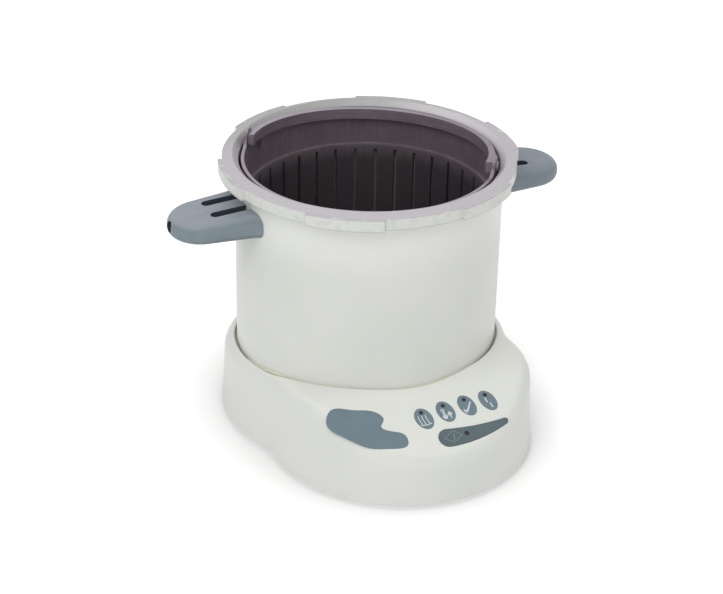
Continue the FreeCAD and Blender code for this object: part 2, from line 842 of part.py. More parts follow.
def make_handle_bolts():
    bolts = []
    start = "(vessel_radius + bracket_thickness)"
    seat = "(handle_reach - bolt_recess)"
    for side, angle in (("left", 180), ("right", 0)):
        around = f"(handle_turn + {angle})"
        lay = FreeCAD.Rotation(UP, value(around)).multiply(FreeCAD.Rotation(NORTH, 90))
        shank = cylinder(f"{side}_bolt_shank", "bolt_radius", f"{seat} - {start}",
                         f"{start} * cos({around})", f"{start} * sin({around})", "bolt_height")
        head = cylinder(f"{side}_bolt_head", "bolt_head_radius", "bolt_head",
                        f"{seat} * cos({around})", f"{seat} * sin({around})", "bolt_height")
        bolts.append(fuse(f"{side}_bolt", [turn(shank, lay), turn(head, lay)]))
    group("handle_bolts", bolts)


# Base casing

def casing_outline(sketch, inset):
    """Round rear and round front bulge, joined by two hollow arcs; an inset moves it inwards."""
    rear_text = f"casing_radius - ({inset})"
    front_text = f"bulge_radius - ({inset})"
    blend_text = f"blend_radius + ({inset})"
    rear, front, blend = value(rear_text), value(front_text), value(blend_text)
    axis = V(0, 0, 0)
    bulge = V(value("bulge_shift"), value("bulge_radius - front_reach"), 0)
    along = ((rear + blend) ** 2 - (front + blend) ** 2) / (2 * bulge.Length) + bulge.Length / 2
    across = math.sqrt((rear + blend) ** 2 - along ** 2)
    forward = bulge * (1 / bulge.Length)
    sideways = V(-forward.y, forward.x, 0)
    right = forward * along + sideways * across
    left = forward * along - sideways * across
    arcs = [(arc_about(axis, rear, right, left), rear_text),
            (arc_about(left, blend, bulge, axis), blend_text),
            (arc_about(bulge, front, left, right), front_text),
            (arc_about(right, blend, axis, bulge), blend_text)]
    rear_arc, left_arc, front_arc, right_arc = [sketch.addGeometry(arc, False) for arc, _ in arcs]
    joints = ((rear_arc, 2, left_arc, 2), (left_arc, 1, front_arc, 1),
              (front_arc, 2, right_arc, 2), (right_arc, 1, rear_arc, 1))
    for joint in joints:
        sketch.addConstraint(Sketcher.Constraint("Tangent", *joint))
    pin(sketch, rear_arc, 3, "0", "0")
    pin(sketch, front_arc, 3, "bulge_shift", "bulge_radius - front_reach")
    for item, (_, text) in zip((rear_arc, left_arc, front_arc, right_arc), arcs):
        dimension(sketch, "Radius", item, text=text)


def casing_form(name, inset):
    """Drafted walls under a crowned top with a sloping panel; an inset makes the inner form."""
    body = new_body(name)
    plan = sketch_on(body, "XY_Plane", f"{name}_plan", "foot_height")
    casing_outline(plan, inset)
    pad(body, plan, f"{name}_walls", "crown_height + shoulder_radius", taper="-casing_draft")

    # Side view of what is cut off: the two slopes meet in the crown, which has a radius of its own
    rear_drop = f"({inset}) / cos(rear_slope)"
    panel_drop = f"({inset}) / cos(panel_slope)"
    shift = f"({panel_drop} - {rear_drop}) / (tan(panel_slope) + tan(rear_slope))"
    apex_y = f"({shift} - crown_reach)"
    apex_z = f"(crown_height - {panel_drop} + {shift} * tan(panel_slope))"
    radius = f"(crown_radius - ({inset}))"
    run = f"{radius} * tan((panel_slope + rear_slope) / 2)"
    back = "(casing_radius + shoulder_radius)"
    front = "(front_reach + shoulder_radius)"
    top = "crown_height + 2 * shoulder_radius"
    side = sketch_on(body, "YZ_Plane", f"{name}_side")
    outline(side, [
        (back, f"{apex_z} - ({back} - {apex_y}) * tan(rear_slope)"),
        (f"{apex_y} + {run} * cos(rear_slope)", f"{apex_z} - {run} * sin(rear_slope)"),
        (f"{apex_y} - {run} * cos(panel_slope)", f"{apex_z} - {run} * sin(panel_slope)", radius, 1),
        (f"-{front}", f"{apex_z} - ({front} + {apex_y}) * tan(panel_slope)"),
        (f"-{front}", top),
        (back, top),
    ])
    shaped = pocket(body, side, f"{name}_top", middle=True)
    wall_foot = value("foot_height")
    round_edges(body, shaped, f"{name}_shoulder",
                lambda e: e.BoundBox.ZMin > wall_foot + EVEN and not straight(e),
                f"shoulder_radius - ({inset})")
    return body


def open_for_vessel(body):
    """Round opening in the casing's top, with a rounded lip."""
    radius = "vessel_radius + opening_gap"
    plan = sketch_on(body, "XY_Plane", "opening_plan")
    circle(plan, "0", "0", radius)
    opened = pocket(body, plan, "vessel_opening", reverse=True)
    half_height = value("vessel_height") / 2
    round_edges(body, opened, "opening_lip_round",
                lambda e: e.BoundBox.ZMin > half_height and not straight(e) and on_radius(e, value(radius)),
                "opening_lip")


def post_places():
    """Places of the four screw posts, two behind and two in the front bulge."""
    rear = "(casing_radius - post_inset)"
    front = "(bulge_radius - post_inset)"
    places = []
    for sign in (-1, 1):
        places.append((f"{sign} * {rear} * cos(rear_post_angle)", f"{rear} * sin(rear_post_angle)"))
        places.append((f"bulge_shift + {sign} * {front} * cos(front_post_angle)",
                       f"bulge_radius - front_reach - {front} * sin(front_post_angle)"))
    return places


def make_base_casing():
    outer = casing_form("outer_form", "0")
    open_for_vessel(outer)
    shell = cut("casing_shell", outer, casing_form("inner_form", "casing_wall"))
    posts = [cylinder(f"post_{i}", "post_radius", "post_height", x, y, PLATE_TOP)
             for i, (x, y) in enumerate(post_places(), 1)]
    block = box("inlet_block", ("inlet_flange_length + 2 * casing_wall", "2 * inlet_block_depth",
                                "inlet_flange_width + 2 * casing_wall"),
                "0", "inlet_flat", "inlet_height - inlet_flange_width / 2 - casing_wall")
    backing = doc.addObject("Part::MultiCommon", "inlet_backing")
    backing.Shapes = [block, outer]
    moulding = fuse("moulding", [shell, backing] + posts)

    cuts = [cylinder(f"post_bore_{i}", "screw_radius", "screw_length", x, y, "foot_height")
            for i, (x, y) in enumerate(post_places(), 1)]
    cuts.append(box("inlet_face", ("2 * inlet_flange_length", "2 * inlet_block_depth",
                                   "inlet_flange_width + 2 * inlet_play"),
                    "0", "inlet_flat + inlet_block_depth",
                    "inlet_height - inlet_flange_width / 2 - inlet_play"))
    cuts.append(box("inlet_opening", ("inlet_housing_length", "4 * inlet_block_depth", "inlet_housing_width"),
                    "0", "inlet_flat", "inlet_height - inlet_housing_width / 2"))
    cuts += [inlet_screw_shank(f"inlet_screw_hole_{i}", sign) for i, sign in enumerate((-1, 1), 1)]
    cuts += panel_cuts()
    node(cut("base_casing", moulding, fuse("casing_cuts", cuts)), "base_casing")


def inlet_screw_shank(name, sign):
    item = cylinder(name, "inlet_screw_radius", "inlet_screw_length",
                    f"{sign} * inlet_screw_pitch / 2", "inlet_flat + inlet_flange", "inlet_height")
    return turn(item, FreeCAD.Rotation(EAST, 90))


# Control panel

LABEL_NAMES = ("one", "two", "three", "four")


def extrude(name, base, height, direction=None):
    """Solid from a closed outline that lies on the panel."""
    item = doc.addObject("Part::Extrusion", name)
    item.Base = base
    item.DirMode = "Custom"
    item.Dir = direction or panel_turn().multVec(UP)
    item.Solid = True
    bind(item, "LengthFwd", height)
    return item


def label_outline(name, which):
    oval = doc.addObject("Part::Ellipse", name)
    bind(oval, "MajorRadius", "label_long / 2")
    bind(oval, "MinorRadius", "label_wide / 2")
    return place_on_panel(oval, f"label_{which}_across", f"label_{which}_down", "-label_depth",
                          90 + value("label_tilt"))


def nameplate_solid(name, height):
    points = [V(across, -down, 0) for across, down in NAMEPLATE]
    curve = Part.BSplineCurve()
    curve.interpolate(Points=points, PeriodicFlag=True)
    item = doc.addObject("Part::Feature", name)
    item.Shape = Part.Face(Part.Wire(curve.toShape())).extrude(V(0, 0, value(height)))
    return place_on_panel(item, "nameplate_across", "nameplate_down", "-label_depth")


def lamp_places():
    """Places of the lamps: one at the top of each label, and one on the key."""
    places = [(f"label_{which}_across - lamp_offset * sin(label_tilt)",
               f"label_{which}_down - lamp_offset * cos(label_tilt)") for which in LABEL_NAMES]
    return places + [("key_lamp_across", "key_lamp_down")]


def panel_cylinder(name, radius, across, down, start, length):
    return place_on_panel(cylinder(name, radius, length), across, down, start)


def lamp_hole(name, place_down):
    return panel_cylinder(name, "lamp_radius + lamp_play", *place_down, "-board_depth",
                          "board_depth + casing_wall")


def key_outline(name, grow, lift):
    """Teardrop: a round head and a round tip, with a slightly hollow top and a bellied underside."""
    sketch = doc.addObject("Sketcher::SketchObject", name)
    place_on_panel(sketch, lift=lift)
    head_text = f"key_head_radius + ({grow})"
    tip_text = f"key_tip_radius + ({grow})"
    belly_text = f"key_belly_radius + ({grow})"
    hollow_text = f"key_hollow_radius - ({grow})"
    head_radius, tip_radius = value(head_text), value(tip_text)
    belly_radius, hollow_radius = value(belly_text), value(hollow_text)
    head = V(value("key_head_across"), -value("key_head_down"), 0)
    tip = V(value("key_tip_across"), -value("key_tip_down"), 0)
    span = tip - head
    forward = span * (1 / span.Length)
    upward = V(-forward.y, forward.x, 0)

    def centre_above(to_head, to_tip):
        """Point above the key at these distances from its head and its tip."""
        along = (to_head ** 2 - to_tip ** 2) / (2 * span.Length) + span.Length / 2
        return head + forward * along + upward * math.sqrt(to_head ** 2 - along ** 2)

    belly = centre_above(belly_radius - head_radius, belly_radius - tip_radius)
    hollow = centre_above(hollow_radius + head_radius, hollow_radius + tip_radius)
    pieces = [arc_about(head, head_radius, hollow, head * 2 - belly),
              arc_about(belly, belly_radius, head, tip),
              arc_about(tip, tip_radius, tip * 2 - belly, hollow),
              arc_about(hollow, hollow_radius, head, tip)]
    head_arc, belly_arc, tip_arc, hollow_arc = [sketch.addGeometry(piece, False) for piece in pieces]
    for joint in ((head_arc, 2, belly_arc, 1), (belly_arc, 2, tip_arc, 1),
                  (tip_arc, 2, hollow_arc, 2), (hollow_arc, 1, head_arc, 1)):
        sketch.addConstraint(Sketcher.Constraint("Tangent", *joint))
    pin(sketch, head_arc, 3, "key_head_across", "-key_head_down")
    pin(sketch, tip_arc, 3, "key_tip_across", "-key_tip_down")
    for item, text in ((head_arc, head_text), (belly_arc, belly_text),
                       (tip_arc, tip_text), (hollow_arc, hollow_text)):
        dimension(sketch, "Radius", item, text=text)
    return sketch


def panel_cuts():
    """What is cut out of the panel: recesses for the labels, lamp holes and the key's opening."""
    cuts = [extrude(f"label_recess_{which}", label_outline(f"recess_oval_{which}", which), "casing_wall")
            for which in LABEL_NAMES]
    cuts.append(nameplate_solid("nameplate_recess", "casing_wall"))
    cuts += [lamp_hole(f"lamp_hole_{i}", place_down) for i, place_down in enumerate(lamp_places(), 1)]
    opening = key_outline("key_opening_outline", "key_play", "-2 * casing_wall")
    cuts.append(extrude("key_opening", opening, "4 * casing_wall"))
    return cuts


def make_labels():
    labels = []
    for which, place_down in zip(LABEL_NAMES, lamp_places()):
        oval = extrude(f"label_{which}", label_outline(f"oval_{which}", which), "label_thickness")
        labels.append(cut(f"label_{which}_cut", oval, lamp_hole(f"label_hole_{which}", place_down)))
    group("indicator_labels", labels)
    node(nameplate_solid("nameplate", "label_thickness"), "nameplate")


def make_lamps():
    lamps = [panel_cylinder(f"lamp_{i}", "lamp_radius", *place_down, "-board_depth",
                            "board_depth + lamp_rise")
             for i, place_down in enumerate(lamp_places(), 1)]
    group("indicator_lights", lamps)


KEY_FOOT = "(-casing_wall - key_play)"
PLUNGER_TOP = "(-board_depth + switch_height + plunger_rise)"


def make_start_key():
    plate = extrude("key_plate", key_outline("key_plate_outline", "0", KEY_FOOT), f"key_rise - {KEY_FOOT}")
    lip_foot = f"({KEY_FOOT} - key_lip_thickness)"
    lip_plate = extrude("key_lip_plate", key_outline("key_lip_outline", "key_lip", lip_foot),
                        "key_lip_thickness")
    beyond = panel_box("beyond_lip", ("key_tip_across", "key_tip_across", "key_lip_thickness"),
                       "key_lip_end + key_tip_across / 2", "key_head_down", lip_foot)
    lip = cut("key_lip_cut", lip_plate, beyond)
    stem = panel_cylinder("key_stem", "key_stem_radius", "switch_across", "switch_down",
                          PLUNGER_TOP, f"{lip_foot} - {PLUNGER_TOP}")
    solid = fuse("key_solid", [plate, lip, stem])
    node(cut("start_key", solid, lamp_hole("key_lamp_hole", lamp_places()[-1])), "start_key")


def make_switch():
    body = panel_box("switch_body", ("switch_size", "switch_size", "switch_height"),
                     "switch_across", "switch_down", "-board_depth")
    well = panel_cylinder("switch_well_bore", "plunger_radius + plunger_play", "switch_across", "switch_down",
                          "switch_height - switch_well - board_depth", "switch_well")
    node(cut("start_switch", body, well), "start_switch")
    plunger = panel_cylinder("switch_plunger", "plunger_radius", "switch_across", "switch_down",
                             f"{PLUNGER_TOP} - plunger_length", "plunger_length")
    node(plunger, "switch_plunger")


def panel_box(name, size, across, down, start):
    """Box centred on a place of the panel, from a start along the panel's normal."""
    item = doc.addObject("Part::Box", name)
    for field, text in zip(("Length", "Width", "Height"), size):
        bind(item, field, text)
    return place_on_panel(item, f"({across}) - ({size[0]}) / 2", f"({down}) + ({size[1]}) / 2", start)


def spacer_places():
    """Places of the four spacers of the control board, clear of the lamps and of the key."""
    upper = "board_down - board_width / 2 + spacer_radius"
    return [("(label_one_across + label_two_across) / 2 - spacer_radius / 2", upper),
            ("(label_three_across + label_four_across) / 2 - spacer_radius / 2", upper),
            ("board_across - board_length / 2 + spacer_inset", "key_head_down"),
            ("board_across + board_length / 2 - spacer_radius", "label_four_down + label_long / 2")]


def make_control_board():
    board = panel_box("board_blank", ("board_length", "board_width", "board_thickness"),
                      "board_across", "board_down", "-board_depth - board_thickness")
    spacers, screws, holes = [], [], []
    under = "-board_depth - board_thickness"
    for i, (across, down) in enumerate(spacer_places(), 1):
        column = panel_cylinder(f"spacer_column_{i}", "spacer_radius", across, down,
                                "-board_depth", "board_depth - casing_wall")
        bore = panel_cylinder(f"spacer_bore_{i}", "board_screw_radius", across, down,
                              under, "board_screw_length")
        shank = panel_cylinder(f"board_screw_shank_{i}", "board_screw_radius", across, down,
                               under, "board_screw_length")
        head = panel_cylinder(f"board_screw_head_{i}", "2 * board_screw_radius", across, down,
                              f"{under} - board_screw_head", "board_screw_head")
        spacers.append(cut(f"spacer_{i}", column, bore))
        screws.append(fuse(f"board_screw_{i}", [shank, head]))
        holes.append(bore)
    node(cut("control_board", board, fuse("board_holes", holes)), "control_board")
    group("board_spacers", spacers)
    group("board_screws", screws)


# Underside

def plate_screw(name, x, y):
    """Screw from below the bottom plate."""
    head = cylinder(f"{name}_head", "screw_head_radius", "screw_head", x, y, "foot_height - screw_head")
    shank = cylinder(f"{name}_shank", "screw_radius", "screw_length", x, y, "foot_height")
    return fuse(name, [head, shank])


PILLAR_ANGLES = (30, 150, 270)


def pillar_places():
    return [(f"pillar_reach * cos({angle})", f"pillar_reach * sin({angle})") for angle in PILLAR_ANGLES]


def foot_places():
    return [(f"{sign} * foot_x", reach) for sign in (-1, 1) for reach in ("foot_rear", "-foot_front")]


def make_bottom_plate():
    body = new_body("bottom_plate")
    plan = sketch_on(body, "XY_Plane", "plate_plan", "foot_height")
    casing_outline(plan, "casing_wall + plate_play")
    pad(body, plan, "plate", "plate_thickness")
    holes = sketch_on(body, "XY_Plane", "plate_holes", "foot_height")
    for x, y in post_places() + pillar_places():
        circle(holes, x, y, "screw_radius")
    for x, y in foot_places():
        circle(holes, x, y, "plug_radius")
    pocket(body, holes, "plate_hole_cuts", reverse=True)
    vent = sketch_on(body, "XY_Plane", "vent_plan", "foot_height")
    first = "-vent_pitch * (vent_count - 1) / 2"
    half = "vent_length / 2"
    left, right = f"{first} - vent_width / 2", f"{first} + vent_width / 2"
    outline(vent, [
        (left, f"-{half}"),
        (first, f"-{half} - vent_width / 2", "vent_width / 2", 1),
        (right, f"-{half}", "vent_width / 2", 1),
        (right, half),
        (first, f"{half} + vent_width / 2", "vent_width / 2", 1),
        (left, half, "vent_width / 2", 1),
    ])
    slot = pocket(body, vent, "vent", reverse=True)
    vents = body.newObject("PartDesign::LinearPattern", "vents")
    vents.Originals = [slot]
    vents.Direction = (vent, ["H_Axis"])
    bind(vents, "Length", "vent_pitch * (vent_count - 1)")
    bind(vents, "Occurrences", "vent_count")
    body.Tip = vents
    doc.recompute()
    node(body, "bottom_plate")


def make_feet_and_screws():
    feet = []
    for i, (x, y) in enumerate(foot_places(), 1):
        pad_part = cylinder(f"foot_pad_{i}", "foot_radius", "foot_height", x, y)
        plug = cylinder(f"foot_plug_{i}", "plug_radius", "plate_thickness + plug_rise", x, y, "foot_height")
        feet.append(fuse(f"foot_{i}", [pad_part, plug]))
    group("rubber_feet", feet)
    group("bottom_screws", [plate_screw(f"bottom_screw_{i}", x, y)
                            for i, (x, y) in enumerate(post_places(), 1)])
    group("pillar_screws", [plate_screw(f"pillar_screw_{i}", x, y)
                            for i, (x, y) in enumerate(pillar_places(), 1)])


# Heater and what carries the vessel

def make_pillars():
    pillars = []
    for i, (x, y) in enumerate(pillar_places(), 1):
        column = cylinder(f"pillar_column_{i}", "pillar_radius", f"shield_height - {PLATE_TOP}",
                          x, y, PLATE_TOP)
        neck = cylinder(f"pillar_neck_{i}", "pillar_neck", "shield_drop", x, y, "shield_height")
        bore = cylinder(f"pillar_bore_{i}", "screw_radius", "screw_length", x, y, "foot_height")
        pillars.append(cut(f"pillar_{i}", fuse(f"pillar_solid_{i}", [column, neck]), bore))
    group("support_pillars", pillars)


def make_heat_shield():
    body = new_body("heat_shield")
    profile = sketch_on(body, "XZ_Plane", "shield_profile")
    outline(profile, [
        ("0", "shield_height"),
        ("shield_radius", "shield_height"),
        ("shield_radius", "shield_height + shield_rim"),
        ("shield_radius - sheet_metal", "shield_height + shield_rim"),
        ("shield_radius - sheet_metal", "shield_height + sheet_metal"),
        ("0", "shield_height + sheet_metal"),
    ])
    revolve(body, profile, "shield_dish")
    holes = sketch_on(body, "XY_Plane", "shield_holes")
    for x, y in pillar_places():
        circle(holes, x, y, "pillar_neck + pillar_play")
    pocket(body, holes, "shield_hole_cuts", reverse=True)
    node(body, "heat_shield")


def torus(name, angle):
    item = doc.addObject("Part::Torus", name)
    bind(item, "Radius1", "element_radius")
    bind(item, "Radius2", "element_tube")
    bind(item, "Angle3", angle)
    return place(item, z=HEATER_BOTTOM)


def make_heater():
    plate = cylinder("heater_disc", "heater_radius", "heater_thickness", z=HEATER_BOTTOM)
    stud_hole = cylinder("heater_stud_hole", "stud_radius", "heater_thickness", z=HEATER_BOTTOM)
    groove = fuse("heater_cuts", [torus("element_groove", "360"), stud_hole])
    node(cut("heater_plate", plate, groove), "heater_plate")
    node(torus("heating_element", "element_angle"), "heating_element")

    terminals = []
    for i, (angle, lay) in enumerate((("0", 90), ("element_angle", -90)), 1):
        item = cylinder(f"terminal_{i}", "terminal_radius", "terminal_length",
                        f"element_radius * cos({angle})", f"element_radius * sin({angle})", HEATER_BOTTOM)
        turn(item, FreeCAD.Rotation(UP, value(angle)).multiply(FreeCAD.Rotation(EAST, lay)))
        terminals.append(item)
    group("element_terminals", terminals)

    clamp_foot = f"({HEATER_BOTTOM} - clamp_thickness)"
    bar = box("clamp_bar", ("clamp_length", "clamp_width", "clamp_thickness"), z=clamp_foot)
    bar_hole = cylinder("clamp_hole", "stud_radius", "clamp_thickness", z=clamp_foot)
    node(cut("heater_clamp", bar, bar_hole), "heater_clamp")
    node(cylinder("heater_stud", "stud_radius", "stud_length", z="vessel_height - stud_length"),
         "heater_stud")
    hexagon = doc.addObject("Part::Prism", "nut_hexagon")
    hexagon.Polygon = 6
    bind(hexagon, "Circumradius", "nut_radius")
    bind(hexagon, "Height", "nut_height")
    place(hexagon, z=f"{clamp_foot} - nut_height")
    nut_bore = cylinder("nut_bore", "stud_radius", "nut_height", z=f"{clamp_foot} - nut_height")
    node(cut("heater_nut", hexagon, nut_bore), "heater_nut")


def make_sensors():
    cutout_foot = f"({HEATER_BOTTOM} - cutout_height)"
    node(cylinder("thermal_cutout", "cutout_radius", "cutout_height", "0", "sensor_reach", cutout_foot),
         "thermal_cutout")
    node(cylinder("temperature_sensor", "sensor_radius", "sensor_length", "0", "-sensor_reach",
                  f"{HEATER_BOTTOM} - sensor_length"), "temperature_sensor")
    strip = box("clip_strip", ("clip_length", "clip_width", "sheet_metal"), "0", "sensor_reach",
                f"{cutout_foot} - sheet_metal")
    legs = [box(f"clip_leg_{i}", ("sheet_metal", "clip_width", "cutout_height + sheet_metal"),
                f"{sign} * (clip_length - sheet_metal) / 2", "sensor_reach", f"{cutout_foot} - sheet_metal")
            for i, sign in enumerate((-1, 1), 1)]
    collar = cylinder("collar_ring", "collar_radius", "collar_height", "0", "-sensor_reach",
                      f"{HEATER_BOTTOM} - collar_height")
    collar_bore = cylinder("collar_bore", "sensor_radius", "collar_height", "0", "-sensor_reach",
                           f"{HEATER_BOTTOM} - collar_height")
    group("sensor_clips", [fuse("cutout_clip", [strip] + legs), cut("sensor_collar", collar, collar_bore)])


# Power electronics on the bottom plate

def make_power_electronics():
    node(box("power_board", ("power_board_length", "power_board_width", "board_thickness"),
             "0", "-power_board_reach", f"{PLATE_TOP} + power_board_lift"), "power_board")
    posts = []
    for sign in (-1, 1):
        for end in (-1, 1):
            posts.append(cylinder(f"power_post_{len(posts) + 1}", "power_post_radius", "power_board_lift",
                                  f"{sign} * (power_board_length / 2 - power_post_margin)",
                                  f"{end} * (power_board_width / 2 - power_post_margin) - power_board_reach",
                                  PLATE_TOP))
    group("board_posts", posts)
    node(box("transformer", ("transformer_length", "transformer_width", "transformer_height"),
             "transformer_x", "-power_board_reach", POWER_BOARD_TOP), "transformer")
    node(box("relay", ("relay_length", "relay_width", "relay_height"),
             "relay_x", "-power_board_reach", POWER_BOARD_TOP), "relay")
    block = box("block_solid", ("block_width", "block_length", "block_height"),
                "block_x", "-power_board_reach", POWER_BOARD_TOP)
    wells = [cylinder(f"block_well_{i}", "block_well_radius", "block_well_depth", "block_x",
                      f"{step} * block_pitch - power_board_reach",
                      f"{POWER_BOARD_TOP} + block_height - block_well_depth")
             for i, step in enumerate((-1, 0, 1), 1)]
    node(cut("terminal_block", block, fuse("block_wells", wells)), "terminal_block")


# Appliance inlet

def make_inlet():
    body = new_body("inlet_socket")
    low, middle, high = ("inlet_height - inlet_flange_width / 2", "inlet_height",
                         "inlet_height + inlet_flange_width / 2")
    corner = "(inlet_flange_length / 2 - inlet_flange_end)"
    outer_face = "-inlet_flat - inlet_flange"
    flange_side = sketch_on(body, "XZ_Plane", "flange_side", outer_face)
    end = "inlet_flange_length / 2"
    lean = "inlet_flange_nose"
    outline(flange_side, [
        (f"-{corner}", low),
        (corner, low),
        (end, f"{middle} - {lean}"),
        (end, f"{middle} + {lean}"),
        (corner, high),
        (f"-{corner}", high),
        (f"-{end}", f"{middle} + {lean}"),
        (f"-{end}", f"{middle} - {lean}"),
    ])
    pad(body, flange_side, "inlet_flange_plate", "inlet_flange")
    housing = sketch_on(body, "XZ_Plane", "housing_side", "-inlet_flat")
    half_length, half_width = "inlet_housing_length / 2", "inlet_housing_width / 2"
    rectangle(housing, f"-{half_length}", f"{middle} - {half_width}", half_length, f"{middle} + {half_width}")
    pad(body, housing, "inlet_housing", "inlet_housing_depth")
    cavity = sketch_on(body, "XZ_Plane", "cavity_side", outer_face)
    inner_length, inner_width = f"({half_length} - inlet_wall)", f"({half_width} - inlet_wall)"
    rectangle(cavity, f"-{inner_length}", f"{middle} - {inner_width}",
              inner_length, f"{middle} + {inner_width}")
    pocket(body, cavity, "inlet_cavity", "inlet_socket_depth", reverse=True)
    holes = sketch_on(body, "XZ_Plane", "screw_side", outer_face)
    for sign in ("-", ""):
        circle(holes, f"{sign}inlet_screw_pitch / 2", middle, "inlet_screw_radius")
    pocket(body, holes, "inlet_screw_holes", "inlet_flange", reverse=True)
    node(body, "inlet_socket")

    cavity_floor = "inlet_flat + inlet_flange - inlet_socket_depth"
    pins = []
    for i, (step, rise) in enumerate(((-1, "0"), (0, "earth_rise"), (1, "0")), 1):
        pins.append(box(f"inlet_pin_{i}", ("pin_thickness", "pin_length", "pin_width"), f"{step} * pin_pitch",
                        f"{cavity_floor} + pin_length / 2", f"inlet_height - pin_width / 2 + {rise}"))
    group("inlet_pins", pins)
    screws = []
    for i, sign in enumerate((-1, 1), 1):
        head = cylinder(f"inlet_screw_head_{i}", "inlet_screw_head_radius", "inlet_screw_head",
                        f"{sign} * inlet_screw_pitch / 2", "inlet_flat + inlet_flange + inlet_screw_head",
                        "inlet_height")
        turn(head, FreeCAD.Rotation(EAST, 90))
        screws.append(fuse(f"inlet_screw_{i}", [inlet_screw_shank(f"inlet_screw_shank_{i}", sign), head]))
    group("inlet_screws", screws)


def check_document():
    """Stops if any object failed or any node's shape is missing or broken."""
    doc.recompute()
    for item in doc.Objects:
        if "Invalid" in item.State or "Error" in item.State:
            raise RuntimeError(f"{item.Name} failed: {item.State}")
    for item in nodes:
        if item.Shape.isNull() or not item.Shape.isValid() or not item.Shape.Solids:
            raise RuntimeError(f"{item.Label} has no valid solid")


def write_nodes():
    os.makedirs("parts", exist_ok=True)
    for item in nodes:
        item.Shape.exportStep(f"parts/{item.Label}.step")


fill_sheet()
make_pressure_vessel()
make_instrument_basket()
make_basket_handle()
make_pivot_pins()
make_side_handle("right_handle", 0)
make_side_handle("left_handle", 180)
make_bracket("right_bracket", 0)
make_bracket("left_bracket", 180)
make_handle_bolts()
make_base_casing()
make_labels()
make_lamps()
make_start_key()
make_switch()
make_control_board()
make_bottom_plate()
make_feet_and_screws()
make_pillars()
make_heat_shield()
make_heater()
make_sensors()
make_power_electronics()
make_inlet()
check_document()
write_nodes()
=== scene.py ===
"""Benchtop steam autoclave: its materials, printed signs, light and camera."""

import math

import bmesh
import bpy
from mathutils import Matrix, Vector


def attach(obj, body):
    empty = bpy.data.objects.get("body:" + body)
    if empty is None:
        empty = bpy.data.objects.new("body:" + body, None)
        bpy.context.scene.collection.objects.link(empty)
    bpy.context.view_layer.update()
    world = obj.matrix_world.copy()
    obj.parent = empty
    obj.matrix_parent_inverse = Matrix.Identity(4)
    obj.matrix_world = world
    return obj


MM = 0.001

# The vessel. A pair of lengths is a soft step: a ramp from the first to the second
AXIS_Y = 31.75 * MM
FLANGE_TOP = 260.5 * MM
FLANGE_FOOT = (247 * MM, 249 * MM)
BELOW_FLANGE = (251 * MM, 249 * MM)
MOUTH_RADIUS = 126.9 * MM
OUTER_WALL = (124.4 * MM, 124.7 * MM)
BARE_FOOT = (60 * MM, 57 * MM)

# The basket: its ledge and the heights of the top faces of its rim and of its handle
LEDGE_HEIGHT = 221 * MM
BASKET_RIM = 255 * MM
BAIL_TOP = 250 * MM

# The side handles: how far they are turned, their bolts and the soft steps round the slots and bolt holes
HANDLE_TURN = math.radians(2.5)
BOLT_HEIGHT = 220.5 * MM
BOLT_HOLE = (5.6 * MM, 5.4 * MM)
HANDLE_TIP = (170 * MM, 172 * MM)
SLOTS_SIDE = (18.5 * MM, 18 * MM)
SLOTS_END = (162.5 * MM, 161.5 * MM)
SLOTS_FLOOR = (224 * MM, 223 * MM)
SLOTS_FOOT = (220.9 * MM, 221.4 * MM)

# The lamp on the start key is nearer than this step, and the other lamps are behind it
KEY_LAMP = (-138 * MM, -142 * MM)

# The sloped panel: its upper edge and its slope, and in millimetres what lies on it
PANEL_EDGE = Vector((0, -95.25, 84.7)) * MM
PANEL_SLOPE = math.radians(28)
FILM_FOOT = 0.02
FILM_EDGE = 0.09
FILM_TOP = 0.14
FILM_ROUNDING = 0.05
KEY_TOP = 0.4
INK = 0.04

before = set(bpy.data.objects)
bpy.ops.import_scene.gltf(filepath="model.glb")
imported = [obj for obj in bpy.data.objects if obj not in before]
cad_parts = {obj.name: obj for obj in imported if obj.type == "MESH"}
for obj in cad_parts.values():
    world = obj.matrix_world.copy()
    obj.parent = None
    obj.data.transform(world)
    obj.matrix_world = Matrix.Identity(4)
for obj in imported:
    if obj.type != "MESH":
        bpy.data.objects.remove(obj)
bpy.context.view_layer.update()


# Materials


def srgb(red, green, blue):
    """A colour written in 0 to 255 as a linear colour."""
    def linear(value):
        value /= 255
        return value / 12.92 if value <= 0.04045 else ((value + 0.055) / 1.055) ** 2.4
    return (linear(red), linear(green), linear(blue), 1)


class Nodes:
    """A node tree that is built up from nothing."""

    def __init__(self, tree):
        self.tree = tree
        self.tree.nodes.clear()

    def add(self, kind, *inputs, **settings):
        """A node with its inputs given in order: a socket is linked, a value is set and None is left."""
        node = self.tree.nodes.new(kind)
        for name, setting in settings.items():
            setattr(node, name, setting)
        for socket, given in zip(node.inputs, inputs):
            self.give(socket, given)
        return node

    def give(self, socket, given):
        if given is None:
            return
        if isinstance(given, bpy.types.NodeSocket):
            self.tree.links.new(given, socket)
        else:
            socket.default_value = given

    def maths(self, operation, first, *others):
        """The operation on all the values, one after the other."""
        if not others:
            return self.add("ShaderNodeMath", first, operation=operation).outputs[0]
        for other in others:
            first = self.add("ShaderNodeMath", first, other, operation=operation).outputs[0]
        return first

    def product(self, *values):
        return self.maths("MULTIPLY", *values)

    def ramp(self, value, low, high, first=0.0, last=1.0, ends="SMOOTHSTEP"):
        """The value taken from low..high to first..last, with soft ends or LINEAR ones."""
        node = self.add("ShaderNodeMapRange", interpolation_type=ends)
        names = ("Value", "From Min", "From Max", "To Min", "To Max")
        for name, given in zip(names, (value, low, high, first, last)):
            self.give(node.inputs[name], given)
        return node.outputs["Result"]


